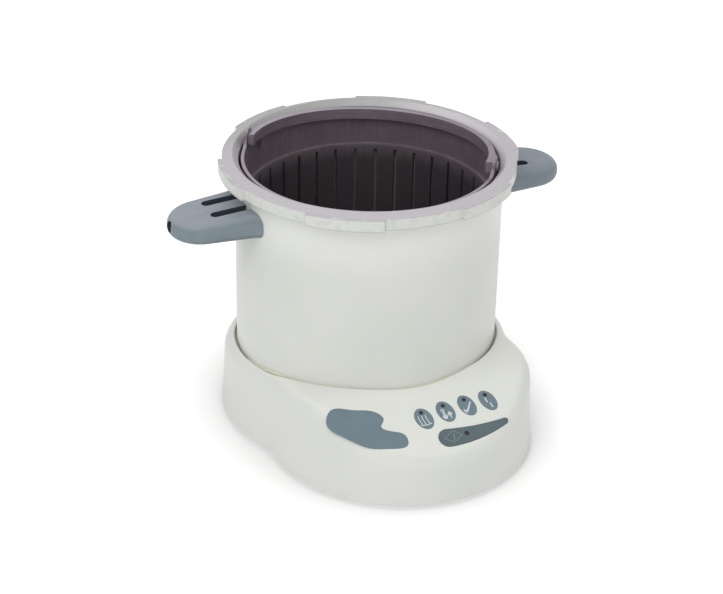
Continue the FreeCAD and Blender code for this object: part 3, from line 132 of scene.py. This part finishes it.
class Shade(Nodes):
    """One material, built up from noise in real sizes."""

    def __init__(self, name, **body):
        self.material = bpy.data.materials.new(name)
        self.material.use_nodes = True
        super().__init__(self.material.node_tree)
        self.body = self.add("ShaderNodeBsdfPrincipled")
        self.add("ShaderNodeOutputMaterial", self.body.outputs["BSDF"])
        for socket, amount in body.items():
            self.body.inputs[socket.replace("_", " ")].default_value = amount
        self.place = self.add("ShaderNodeTexCoord").outputs["Object"]
        self.x, self.y, self.z = self.add("ShaderNodeSeparateXYZ", self.place).outputs
        self.facing = self.add("ShaderNodeNewGeometry").outputs["Normal"]
        self.up = self.add("ShaderNodeSeparateXYZ", self.facing).outputs["Z"]
        self.relief = None

    def noise(self, size, detail=3, place=None, stretch=None):
        """Noise from 0 to 1 with lumps of that size in metres, longer along the axes that stretch names."""
        place = place or self.place
        if stretch:
            shrink = [1 / amount for amount in stretch]
            place = self.add("ShaderNodeVectorMath", place, shrink, operation="MULTIPLY").outputs[0]
        node = self.add("ShaderNodeTexNoise")
        for name, given in (("Vector", place), ("Scale", 1 / size), ("Detail", detail)):
            self.give(node.inputs[name], given)
        return node.outputs["Fac"]

    def patches(self, size, detail, low, high, first=0.0, last=1.0, **how):
        """Noise whose values from low to high are taken to first..last."""
        return self.ramp(self.noise(size, detail, **how), low, high, first, last)

    def blend(self, share, first, second):
        """The first colour, or the second where share is 1."""
        node = self.add("ShaderNodeMix", data_type="RGBA")
        for number, given in ((0, share), (6, first), (7, second)):
            self.give(node.inputs[number], given)
        return node.outputs[2]

    def tint(self, shade, share, colour, strength=1):
        """The shade with a colour over it where share is 1, as strongly as strength says."""
        if strength != 1:
            share = self.product(share, strength)
        return self.blend(share, shade, srgb(*colour))

    def radius(self):
        """Distance from the vessel's axis."""
        along = self.maths("SUBTRACT", self.y, AXIS_Y)
        square = self.maths("ADD", self.product(self.x, self.x), self.product(along, along))
        return self.maths("SQRT", square)

    def round_place(self, length):
        """Coordinates unrolled round the vessel's axis: along the wall, out from it and up it."""
        along = self.maths("SUBTRACT", self.y, AXIS_Y)
        angle = self.product(self.maths("ARCTAN2", along, self.x), length)
        return self.add("ShaderNodeCombineXYZ", angle, self.radius(), self.z).outputs[0]

    def edges(self, width):
        """1 on edges that stand out or in, within that width, and 0 on plain faces."""
        bevel = self.add("ShaderNodeBevel", width, samples=6)
        same = self.add("ShaderNodeVectorMath", bevel.outputs[0], self.facing, operation="DOT_PRODUCT")
        return self.ramp(same.outputs["Value"], 0.995, 0.86)

    def soften(self, width):
        """Rounds every edge to the eye by that width; it comes before any relief."""
        self.relief = self.add("ShaderNodeBevel", width, samples=8).outputs[0]

    def bump(self, height, depth):
        """Adds relief of that depth in metres."""
        node = self.add("ShaderNodeBump")
        for name, given in (("Strength", 1), ("Distance", depth), ("Height", height), ("Normal", self.relief)):
            self.give(node.inputs[name], given)
        self.relief = node.outputs["Normal"]

    def finish(self, colour, rough, metallic=None):
        looks = (("Base Color", colour), ("Roughness", rough), ("Metallic", metallic),
                 ("Normal", self.relief))
        for name, given in looks:
            self.give(self.body.inputs[name], given)
        return self.material


def plain(name, colour, cloud, rough, grain, depth, stretch=None, **body):
    """A material with cloudy colour, uneven gloss and fine grain; grain and depth in millimetres."""
    made = Shade(name, **body)
    shade = made.tint(srgb(*colour), made.patches(14 * MM, 3, 0.3, 0.7), cloud, 0.7)
    speck = made.patches(grain * 2.3 * MM, 2, 0.35, 0.75, stretch=stretch)
    shade = made.tint(shade, speck, cloud, 0.3)
    made.bump(made.noise(grain * MM, 4, stretch=stretch), depth * MM)
    return made.finish(shade, made.patches(9 * MM, 4, 0.3, 0.75, *rough))


def casting_paint(made, flange):
    """White paint: darker towards the right as painted shade, lighter just under the flange as painted light
    against its shadow, scuffed and scraped round the flange.
    """
    paint = made.tint(srgb(220, 221, 216), made.patches(70 * MM, 3, 0.3, 0.7), (216, 218, 212))
    # Painted shade: the paint darkens towards the right.
    paint = made.tint(paint, made.ramp(made.x, 80 * MM, 121 * MM), (201, 203, 201), 0.6)
    # Painted light: the paint is lighter just under the flange, against the flange's shadow.
    paint = made.tint(paint, made.ramp(made.z, 185 * MM, 236 * MM), (236, 237, 232), 0.7)
    paint = made.tint(paint, flange, (201, 204, 200), 0.55)
    scuff = made.patches(7 * MM, 3, 0.52, 0.62)
    paint = made.tint(paint, made.product(scuff, flange), (182, 184, 184), 0.22)
    scrape = made.patches(1.1 * MM, 4, 0.64, 0.7, place=made.round_place(0.125), stretch=(14, 1, 1))
    scrape = made.product(scrape, made.patches(30 * MM, 2, 0.5, 0.6), flange)
    return made.tint(paint, scrape, (150, 150, 152), 0.7)


def casting_metal(made, radius, inside, mottle):
    """Bare aluminium: mottled, greyer towards the rear, a painted highlight in the mouth towards the right,
    turned in the bore.
    """
    metal = made.tint(srgb(205, 201, 206), mottle, (199, 195, 200))
    metal = made.tint(metal, made.ramp(made.y, 60 * MM, 130 * MM), (180, 182, 177), 0.7)
    # Painted highlight: the mouth turns much lighter towards the right.
    bevel = made.ramp(radius, MOUTH_RADIUS, MOUTH_RADIUS - 0.5 * MM)
    bevel = made.product(made.ramp(made.x, 50 * MM, 115 * MM), bevel)
    metal = made.tint(metal, bevel, (246, 243, 247), 0.7)
    turned = made.noise(0.5 * MM, place=made.round_place(0.02))
    return made.tint(metal, made.product(turned, inside), (160, 156, 162), 0.5)


def painted_casting():
    """White paint outside, bare cast aluminium on the flange's top and in the mouth and bore."""
    made = Shade("white_enamel", Specular_IOR_Level=0.3)
    radius = made.radius()
    creep = made.product(made.noise(9 * MM), 4 * MM)
    brim = made.maths("SUBTRACT", made.maths("ADD", made.z, creep), 1 * MM)
    top = made.ramp(brim, FLANGE_TOP + 0.2 * MM, FLANGE_TOP + 0.9 * MM)
    within = made.ramp(radius, MOUTH_RADIUS + 0.6 * MM, MOUTH_RADIUS)
    inside = made.product(within, made.ramp(made.up, -0.05, -0.2, 1, 0))
    wall = made.product(made.ramp(radius, *OUTER_WALL), made.ramp(made.z, *BELOW_FLANGE))
    inside = made.maths("SUBTRACT", inside, wall)
    bare = made.maths("MAXIMUM", top, inside, made.ramp(made.z, *BARE_FOOT))
    flange = made.ramp(made.z, *FLANGE_FOOT)
    worn = made.ramp(made.product(made.edges(0.9 * MM), made.noise(4 * MM, 4)), 0.42, 0.6)
    bare = made.maths("MAXIMUM", bare, made.product(worn, flange))
    mottle = made.patches(1.6 * MM, 4, 0.3, 0.7)
    paint = casting_paint(made, flange)
    metal = casting_metal(made, radius, inside, mottle)
    made.soften(2 * MM)
    made.bump(made.noise(25 * MM, 2), 0.02 * MM)
    made.bump(made.noise(0.7 * MM), made.product(bare, 0.02 * MM))
    made.bump(bare, -0.06 * MM)
    gloss = made.patches(40 * MM, 2, 0.2, 0.8, 0.3, 0.38)
    cast = made.ramp(mottle, 0, 1, 0.5, 0.62)
    rough = made.add("ShaderNodeMix", bare, None, gloss, cast, data_type="FLOAT").outputs[0]
    return made.finish(made.blend(bare, paint, metal), rough, made.product(bare, 0.35))


def moulded_white():
    """Satin white moulding: fine spark texture, faint clouds, top faces lighter as painted light, rubbed
    edges, a dim foot.
    """
    made = Shade("white_plastic", Specular_IOR_Level=0.35)
    shade = made.tint(srgb(222, 223, 218), made.patches(90 * MM, 3, 0.3, 0.7), (217, 219, 214))
    # Painted light: faces that look up are lighter.
    shade = made.tint(shade, made.ramp(made.up, 0.7, 0.95), (238, 239, 233), 0.55)
    grime = made.product(made.ramp(made.z, 22 * MM, 4 * MM), made.patches(8 * MM, 6, 0.5, 0.8))
    shade = made.tint(shade, grime, (176, 174, 166), 0.14)
    shade = made.tint(shade, made.edges(0.7 * MM), (232, 232, 228), 0.35)
    made.bump(made.noise(0.35 * MM, 2), 0.012 * MM)
    made.bump(made.noise(30 * MM, 2), 0.06 * MM)
    return made.finish(shade, made.patches(35 * MM, 2, 0.2, 0.8, 0.34, 0.44))


def moulded_slate():
    """Slate-grey handle moulding: fine grain, faint flow lines along it, paler worn edges; a painted
    reflection on the top faces, painted shade on the undersides, on the right handle, in the slots and round
    the bolt heads.
    """
    made = Shade("slate_plastic")
    flow = made.noise(6 * MM, 4, stretch=(9, 1, 1))
    lines = made.ramp(flow, 0.35, 0.7)
    # Painted reflection: the top faces get a lighter, bluer colour than the sides.
    side = made.tint(srgb(122, 136, 143), lines, (116, 130, 137))
    top = made.tint(srgb(151, 158, 167), lines, (143, 151, 160))
    shade = made.blend(made.ramp(made.up, 0.45, 0.9), side, top)
    # Painted shade: darker towards the right handle.
    shade = made.tint(shade, made.ramp(made.x, 0, 150 * MM), (112, 121, 132), 0.55)
    # Painted shade: faces that look down are darker.
    shade = made.tint(shade, made.ramp(made.up, -0.1, -0.6), (100, 114, 121), 0.6)
    worn = made.product(made.edges(0.8 * MM), made.patches(3 * MM, 4, 0.35, 0.7))
    shade = made.tint(shade, worn, (170, 178, 185), 0.3)

    across = made.product(made.maths("SUBTRACT", made.y, AXIS_Y), math.cos(HANDLE_TURN))
    across = made.maths("SUBTRACT", across, made.product(made.x, math.sin(HANDLE_TURN)))
    aside = made.maths("ABSOLUTE", across)
    radius = made.radius()
    # Painted shade: the slot sides are dark and the slot bottoms nearly black.
    slots = made.product(made.ramp(aside, *SLOTS_SIDE), made.ramp(radius, *SLOTS_END))
    above = made.ramp(made.z, *SLOTS_FOOT)
    shaded_slot_sides = made.product(made.ramp(made.up, 0.3, 0.15), above)
    shade = made.tint(shade, made.product(slots, shaded_slot_sides), (64, 77, 87))
    shaded_slot_bottoms = made.product(made.ramp(made.z, *SLOTS_FLOOR), above)
    shade = made.tint(shade, made.product(slots, shaded_slot_bottoms), (28, 33, 38))

    # Painted shade: dark round each bolt head in its recess.
    rise = made.maths("SUBTRACT", made.z, BOLT_HEIGHT)
    off = made.maths("ADD", made.product(rise, rise), made.product(aside, aside))
    shaded_bolt_recess = made.ramp(made.maths("SQRT", off), *BOLT_HOLE)
    shaded_bolt_recess = made.product(shaded_bolt_recess, made.ramp(radius, *HANDLE_TIP))
    shade = made.tint(shade, shaded_bolt_recess, (52, 62, 68))
    made.bump(made.noise(0.3 * MM, 2), 0.014 * MM)
    made.bump(flow, 0.05 * MM)
    return made.finish(shade, made.patches(18 * MM, 5, 0.3, 0.75, 0.36, 0.5))


def dark_anodised(name, along, pale):
    """Dark satin aluminium, brushed along the wall or up it, with painted shade below the ledge, a painted
    highlight round the ledge and a painted reflection on the top faces from pale up, weaker towards the right.
    """
    made = Shade(name, Metallic=0.25)
    streaks = made.noise(0.8 * MM, place=made.round_place(0.12), stretch=along)
    shade = made.tint(srgb(133, 122, 129), made.ramp(streaks, 0.3, 0.7), (119, 109, 116))
    shade = made.tint(shade, made.patches(30 * MM, 4, 0.35, 0.7), (108, 100, 105), 0.4)
    # Painted shade: much darker below the ledge.
    low = made.ramp(made.z, LEDGE_HEIGHT + 4 * MM, LEDGE_HEIGHT - 20 * MM)
    shade = made.tint(shade, low, (70, 63, 69), 0.85)
    # Painted highlight: a lighter, patchy band round the ledge.
    ledge = made.product(made.ramp(made.z, LEDGE_HEIGHT - 2.4 * MM, LEDGE_HEIGHT - 0.6 * MM),
                         made.ramp(made.z, LEDGE_HEIGHT + 0.8 * MM, LEDGE_HEIGHT + 0.2 * MM),
                         made.patches(9 * MM, 3, 0.3, 0.65, 0.2, 0.6))
    shade = made.tint(shade, ledge, (150, 141, 148))
    # Painted reflection: top faces from pale up are lighter, less so towards the right.
    rim = made.product(made.ramp(made.up, 0.6, 0.9), made.ramp(made.z, pale - 1.5 * MM, pale),
                       made.ramp(made.x, 60 * MM, 110 * MM, 1, 0.4))
    shade = made.tint(shade, rim, (168, 158, 170))
    worn = made.product(made.edges(0.5 * MM), made.patches(2 * MM, 5, 0.4, 0.7))
    shade = made.tint(shade, worn, (160, 153, 160), 0.5)
    made.bump(streaks, 0.02 * MM)
    return made.finish(shade, made.patches(12 * MM, 5, 0.3, 0.75, 0.36, 0.5))


def film(name, colour, cloud):
    """Printed film or smooth key plastic: even colour with a faint grain and a soft sheen."""
    made = Shade(name, Coat_Weight=0.15, Coat_Roughness=0.3)
    speck = made.noise(0.4 * MM, 2)
    shade = made.tint(srgb(*colour), made.patches(16 * MM, 4, 0.3, 0.7), cloud)
    shade = made.tint(shade, speck, (150, 165, 172), 0.12)
    made.bump(speck, 0.006 * MM)
    made.bump(made.noise(9 * MM, 2), 0.03 * MM)
    return made.finish(shade, made.patches(10 * MM, 5, 0.3, 0.75, 0.34, 0.46))


def lens():
    """Small unlit lamps: smoked brown, the one on the key dark red."""
    made = Shade("lamp_lens", Coat_Weight=0.2, Coat_Roughness=0.12)
    depth = made.patches(1.2 * MM, 3, 0.3, 0.7)
    brown = made.tint(srgb(32, 27, 25), depth, (22, 19, 18))
    ruby = made.tint(srgb(58, 36, 35), depth, (42, 29, 29))
    made.bump(made.noise(0.8 * MM, 2), 0.02 * MM)
    gloss = made.patches(2 * MM, 3, 0.3, 0.7, 0.2, 0.34)
    return made.finish(made.blend(made.ramp(made.y, *KEY_LAMP), brown, ruby), gloss)


def board():
    """Green laminate with paler copper runs under the lacquer."""
    made = Shade("circuit_board", Coat_Weight=0.4, Coat_Roughness=0.2)
    runs = made.add("ShaderNodeTexBrick", made.place)
    for name, given in (("Scale", 160), ("Mortar Size", 0.05)):
        made.give(runs.inputs[name], given)
    shade = made.tint(srgb(32, 92, 58), made.patches(7 * MM, 4, 0.3, 0.7), (26, 80, 50))
    shade = made.tint(shade, runs.outputs["Fac"], (64, 128, 78))
    made.bump(runs.outputs["Fac"], 0.03 * MM)
    made.bump(made.noise(0.4 * MM, 2), 0.01 * MM)
    return made.finish(shade, made.patches(12 * MM, 4, 0.3, 0.75, 0.3, 0.45))


# Each row: the colour, its clouds, the roughness from and to, the grain, its depth and its stretch
ROLLED = (1, 8, 1)
LAYERS = (12, 12, 1)
METALS = {
    "screw_steel": ((158, 157, 158), (128, 127, 130), (0.25, 0.42), 0.6, 0.02),
    "bracket_metal": ((196, 196, 198), (170, 170, 173), (0.4, 0.6), 0.8, 0.06),
    "plate_steel": ((176, 178, 180), (158, 162, 166), (0.28, 0.45), 2, 0.02, ROLLED),
    "heater_metal": ((188, 187, 188), (165, 164, 167), (0.35, 0.55), 1, 0.05),
    "element_sheath": ((112, 100, 92), (78, 72, 74), (0.4, 0.6), 1.5, 0.03),
    "sheet_aluminium": ((208, 208, 210), (190, 190, 193), (0.25, 0.4), 1, 0.02, ROLLED),
}
OTHERS = {
    "foot_rubber": ((44, 44, 45), (34, 34, 35), (0.7, 0.85), 0.6, 0.05),
    "nylon": ((222, 220, 206), (210, 207, 192), (0.4, 0.55), 0.8, 0.02),
    "black_plastic": ((34, 34, 35), (26, 26, 27), (0.42, 0.58), 0.35, 0.015),
    "transformer_iron": ((62, 62, 68), (44, 44, 49), (0.35, 0.55), 0.5, 0.08, LAYERS),
    "white_ink": ((218, 224, 226), (205, 212, 215), (0.4, 0.55), 0.3, 0.006),
    "grey_ink": ((142, 155, 163), (130, 144, 152), (0.4, 0.55), 0.3, 0.006),
    "gap_tan": ((222, 220, 202), (214, 211, 190), (0.45, 0.6), 0.5, 0.02),
}
FINISHES = {
    "white_enamel": painted_casting(),
    "white_plastic": moulded_white(),
    "slate_plastic": moulded_slate(),
    "dark_anodised": dark_anodised("dark_anodised", (1, 1, 40), BASKET_RIM),
    "bail_metal": dark_anodised("bail_metal", (40, 1, 1), BAIL_TOP),
    "label_plastic": film("label_plastic", (107, 127, 137), (102, 122, 132)),
    "key_plastic": film("key_plastic", (82, 99, 104), (77, 94, 99)),
    "lamp_lens": lens(),
    "circuit_board": board(),
}
for name, row in METALS.items():
    FINISHES[name] = plain(name, *row, Metallic=1)
for name, row in OTHERS.items():
    FINISHES[name] = plain(name, *row)

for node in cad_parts.values():
    for part in node.material_slots:
        part.material = FINISHES[part.material.name.split(".")[0]]


# Pieces made of mesh


def skin(mesh, rings, closed):
    """Faces between rings with the same number of corners; the first and the last are covered or joined."""
    pairs = list(zip(rings, rings[1:]))
    if closed:
        pairs.append((rings[-1], rings[0]))
    for one, two in pairs:
        for corner in range(len(one)):
            follow = (corner + 1) % len(one)
            mesh.faces.new((one[corner], one[follow], two[follow], two[corner]))
    if not closed:
        mesh.faces.new(rings[0])
        mesh.faces.new(list(reversed(rings[-1])))


def finish_piece(mesh, name, body, finish):
    """Makes the mesh a piece that rides on a body."""
    bmesh.ops.recalc_face_normals(mesh, faces=mesh.faces)
    data = bpy.data.meshes.new(name)
    mesh.to_mesh(data)
    mesh.free()
    data.materials.append(FINISHES[finish])
    piece = bpy.data.objects.new(name, data)
    bpy.context.scene.collection.objects.link(piece)
    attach(piece, body)


def on_panel(across, down, lift):
    """A point of the sloped panel from millimetres across it, down it and off it."""
    uphill = Vector((0, math.cos(PANEL_SLOPE), math.sin(PANEL_SLOPE)))
    outward = Vector((0, -math.sin(PANEL_SLOPE), math.cos(PANEL_SLOPE)))
    return PANEL_EDGE + (Vector((across, 0, 0)) - uphill * down + outward * lift) * MM


# Printed films over the ovals: millimetres across and down the panel, length, width and tilt in degrees

OVAL_CORNERS = 72
OVALS = {
    "oval_steam": (-4.5, 36.9, 22.6, 16.9, 14),
    "oval_heat": (17.9, 33.9, 22.8, 16.5, 16),
    "oval_ready": (39.8, 31.7, 22.8, 15.9, 18),
    "oval_drying": (61.1, 30.7, 22.7, 15.2, 20),
}


def oval_film(name, across, down, long, wide, tilt):
    """The printed film over one oval, its rim a little rounded."""
    mesh = bmesh.new()
    along = Vector((math.sin(math.radians(tilt)), math.cos(math.radians(tilt))))
    aside = Vector((along.y, -along.x))
    rings = []
    for inset, lift in ((0, FILM_FOOT), (0, FILM_EDGE), (FILM_ROUNDING, FILM_TOP)):
        ring = []
        for step in range(OVAL_CORNERS):
            angle = math.radians(360 * step / OVAL_CORNERS)
            at = Vector((across, down)) + along * (long / 2 - inset) * math.cos(angle)
            at += aside * (wide / 2 - inset) * math.sin(angle)
            ring.append(mesh.verts.new(on_panel(at.x, at.y, lift)))
        rings.append(ring)
    skin(mesh, rings, False)
    finish_piece(mesh, name, "autoclave", "label_plastic")


for name, shape in OVALS.items():
    oval_film(name, *shape)


# Printed signs: points in millimetres across and down the panel, then the ink's width from and to

CAP_ANGLES = (80, 60, 40, 20)
STEPS_A_SPAN = 6


def smooth(points):
    """The same line with more points, rounded through the given ones."""
    ends = [points[0], *points, points[-1]]
    line = []
    for span in zip(ends, ends[1:], ends[2:], ends[3:]):
        before, start, end, after = map(Vector, span)
        for step in range(STEPS_A_SPAN):
            t = step / STEPS_A_SPAN
            line.append(0.5 * (2 * start + (end - before) * t
                               + (2 * before - 5 * start + 4 * end - after) * t * t
                               + (3 * start - before - 3 * end + after) * t ** 3))
    return line + [Vector(points[-1])]


def round_end(point, along, half, way):
    """The rows of a round end beyond a point: it goes against the line or, with way 1, along it."""
    turns = [math.radians(angle) for angle in CAP_ANGLES]
    rows = [(point + way * along * half * math.sin(turn), along, half * math.cos(turn)) for turn in turns]
    return rows[::-way]


def stroke(mesh, points, widths, lift, closed=False):
    """A printed line of ink: round and smooth with round ends, or with its corners kept if it is closed."""
    line = [Vector(point) for point in points] if closed or len(points) == 2 else smooth(points)
    count = len(line)
    rows = []
    for number, point in enumerate(line):
        before = line[number - 1] if number or closed else point
        after = line[(number + 1) % count] if number < count - 1 or closed else point
        into, out = (point - before).normalized(), (after - point).normalized()
        along = (into + out).normalized()
        half = (widths[0] + (widths[-1] - widths[0]) * number / max(1, count - 1)) / 2
        if closed:
            half /= max(0.35, along.dot(out))
        rows.append((point, along, half))
    if not closed:
        rows = round_end(*rows[0], -1) + rows + round_end(*rows[-1], 1)
    rings = []
    for point, along, half in rows:
        side = Vector((-along.y, along.x)) * half
        corners = ((point + side, 0), (point - side, 0), (point - side, INK), (point + side, INK))
        rings.append([mesh.verts.new(on_panel(at.x, at.y, lift + high)) for at, high in corners])
    skin(mesh, rings, closed)


def circle(x, y, radius):
    turns = [math.radians(angle) for angle in range(0, 360, 30)]
    return [(x + radius * math.cos(turn), y + radius * math.sin(turn)) for turn in turns]


def sign(name, body, lift, ink, *strokes):
    """One printed sign as its own piece: each stroke is points, widths and, if it closes, True."""
    mesh = bmesh.new()
    for points, widths, *closed in strokes:
        stroke(mesh, points, widths, lift, bool(closed))
    finish_piece(mesh, name, body, ink)


sign(
    "sign_steam", "autoclave", FILM_TOP, "white_ink",
    ([(-9.3, 33.7), (-9.5, 36.2), (-8.9, 39), (-8.2, 41.8), (-8.1, 43)], (0.8, 0.9)),
    ([(-5.8, 33.6), (-6, 36.3), (-5.4, 39.3), (-4.7, 42.2), (-4.6, 43.2)], (0.8, 0.9)),
    ([(-2.1, 33.4), (-2.3, 36.1), (-1.6, 39.1), (-0.9, 42), (-0.9, 42.9)], (0.8, 0.9)),
    ([(-9.2, 43.2), (-4.9, 43.6), (-1.7, 43.3), (1.1, 42.8)], (0.9, 0.9)),
)
sign(
    "sign_heat", "autoclave", FILM_TOP, "white_ink",
    (circle(15.1, 32.2, 1.4), (0.8, 0.8), True),
    ([(15.2, 33.4), (15.7, 37)], (1.7, 2.2)),
    ([(15.8, 38.6), (15.9, 39.2)], (4.6, 4.6)),
    ([(20.8, 36.6), (21.4, 41.3)], (1.1, 0.9)),
    ([(20.5, 34.1), (20.9, 36.6)], (0.5, 4.4)),
)
sign(
    "sign_ready", "autoclave", FILM_TOP, "white_ink",
    ([(35.6, 35.9), (36.9, 38.6)], (1.7, 2)),
    ([(36.9, 38.8), (40.3, 34.5), (44, 28.7)], (2.2, 1)),
)
sign(
    "sign_drying", "autoclave", FILM_TOP, "white_ink",
    ([(59.1, 27.8), (60, 32)], (1.2, 1.3)),
    ([(62.3, 33.6), (63.4, 38)], (1.3, 1.2)),
)
sign(
    "sign_start", "start_button", KEY_TOP, "grey_ink",
    ([(6.9, 60.8), (17.5, 54.5), (24.7, 60), (15.4, 66)], (0.42, 0.42), True),
    ([(16.9, 57.2), (16.8, 60.1), (16.1, 63.7)], (0.5, 0.7)),
)


# A pale tan bead between the vessel and the casing's opening, which lightens the gap there. Its heights in
# millimetres follow the casing's top from the left side (-180 degrees) over the front (-90) to the right and
# round the rear

BEAD_SPAN = 30
BEAD_TOPS = (75.2, 81.4, 82.9, 82, 82.9, 81.4, 75.2, 70.9, 67.3, 65.2, 67.3, 70.9, 75.2)
BEAD_MIDDLE = -110
BEAD_FULL = 48
BEAD_FADE = 20
BEAD_SUNK = 5
BEAD_DROP = 0.5
BEAD_STEP = 2

# The bead's section: radius from the vessel's axis and height over its top
BEAD_SECTION = ((125.15, -3), (125.15, 0), (126, -0.15), (126.85, -0.1), (126.85, -3))


def bead_top(angle):
    """Height of the bead in millimetres: full round the front left and sunk at the sides and behind."""
    span, beyond = divmod(angle + 180, BEAD_SPAN)
    part = beyond / BEAD_SPAN
    top = BEAD_TOPS[span] * (1 - part) + BEAD_TOPS[span + 1] * part
    sunk = min(1, max(0, (abs(angle - BEAD_MIDDLE) - BEAD_FULL) / BEAD_FADE))
    return top - BEAD_DROP - BEAD_SUNK * sunk


def gap_bead():
    mesh = bmesh.new()
    rings = []
    for angle in range(-180, 180, BEAD_STEP):
        turn = math.radians(angle)
        ring = []
        for out, high in BEAD_SECTION:
            at = Vector((out * math.cos(turn), out * math.sin(turn), bead_top(angle) + high)) * MM
            ring.append(mesh.verts.new(at + Vector((0, AXIS_Y, 0))))
        rings.append(ring)
    skin(mesh, rings, True)
    finish_piece(mesh, "gap_bead", "autoclave", "gap_tan")


gap_bead()


# Floor, light and camera

WHITE = 1.0
WORLD_LIGHT = 0.94
CONTACT_REACH = 75 * MM


def world_light():
    """A plain even light that looks pure white where it is seen."""
    world = bpy.data.worlds.new("studio")
    bpy.context.scene.world = world
    world.use_nodes = True
    made = Nodes(world.node_tree)
    rays = made.add("ShaderNodeLightPath").outputs
    seen = made.maths("MAXIMUM", rays["Is Camera Ray"], rays["Is Glossy Ray"], rays["Is Transmission Ray"])
    level = made.ramp(seen, 0, 1, WORLD_LIGHT, WHITE, "LINEAR")
    light = made.add("ShaderNodeBackground", None, level)
    made.add("ShaderNodeOutputWorld", light.outputs[0])


def floor():
    """A pale sweep that shows white where it is seen, with a painted soft shadow near the base: its glow
    follows ambient occlusion.
    """
    mesh = bmesh.new()
    bmesh.ops.create_grid(mesh, x_segments=8, y_segments=8, size=6)
    data = bpy.data.meshes.new("floor")
    mesh.to_mesh(data)
    mesh.free()
    ground = bpy.data.objects.new("floor", data)
    bpy.context.scene.collection.objects.link(ground)
    material = bpy.data.materials.new("floor")
    material.use_nodes = True
    made = Nodes(material.node_tree)
    rays = made.add("ShaderNodeLightPath").outputs
    seen = made.maths("MAXIMUM", rays["Is Camera Ray"], rays["Is Glossy Ray"])
    # Painted shadow: the glow the camera sees dims with ambient occlusion near the base; painted light raises
    # it again right under the base's edge.
    free = made.add("ShaderNodeAmbientOcclusion", None, CONTACT_REACH, samples=16).outputs["AO"]
    far = made.ramp(free, 0.5, 1, 0.03, 0.37, "LINEAR")
    foot = made.ramp(free, 0.1, 0.5, 0.4, 0, "LINEAR")
    level = made.product(seen, made.maths("ADD", far, foot))
    glow = made.add("ShaderNodeEmission", None, level)
    matte = made.add("ShaderNodeBsdfDiffuse", (0.9, 0.9, 0.9, 1))
    both = made.add("ShaderNodeAddShader", glow.outputs[0], matte.outputs[0])
    made.add("ShaderNodeOutputMaterial", both.outputs[0])
    data.materials.append(material)


def softbox(name, place, aim, size, power):
    """A round soft lamp: metres and watts."""
    lamp = bpy.data.lights.new(name, "AREA")
    lamp.shape = "DISK"
    lamp.size = size
    lamp.energy = power
    holder = bpy.data.objects.new(name, lamp)
    bpy.context.scene.collection.objects.link(holder)
    holder.location = place
    holder.rotation_euler = (Vector(aim) - Vector(place)).to_track_quat("-Z", "Y").to_euler()


def camera():
    """The photograph's camera: where it stands, which way it looks and its slight roll."""
    turn, rise, roll = map(math.radians, (-21.5, 28.626, 1.188))
    target = Vector((-4.31, 33.45, 109.71)) * MM
    distance = 1.808
    back = Vector((math.sin(turn) * math.cos(rise), -math.cos(turn) * math.cos(rise), math.sin(rise)))
    right = (-back).cross(Vector((0, 0, 1))).normalized()
    up = right.cross(-back)
    across = right * math.cos(roll) + up * math.sin(roll)
    above = up * math.cos(roll) - right * math.sin(roll)
    optics = bpy.data.cameras.new("camera")
    optics.sensor_width = 36
    optics.sensor_fit = "HORIZONTAL"
    optics.lens = 93.31
    optics.clip_start = 0.05
    holder = bpy.data.objects.new("camera", optics)
    bpy.context.scene.collection.objects.link(holder)
    facing = Matrix((across, above, back)).transposed()
    holder.matrix_world = Matrix.Translation(target + back * distance) @ facing.to_4x4()
    bpy.context.scene.camera = holder


world_light()
floor()
softbox("lamp_left", (-1.1, -1.2, 2.1), (0, 0, 0.12), 1.5, 14)
softbox("lamp_right", (1.5, -1.3, 1.6), (0, 0, 0.12), 1.3, 1.2)
softbox("lamp_front", (-1.5, -1.7, 0.45), (0, 0, 0.2), 1.3, 1.6)
camera()
bpy.context.scene.view_settings.view_transform = "Standard"
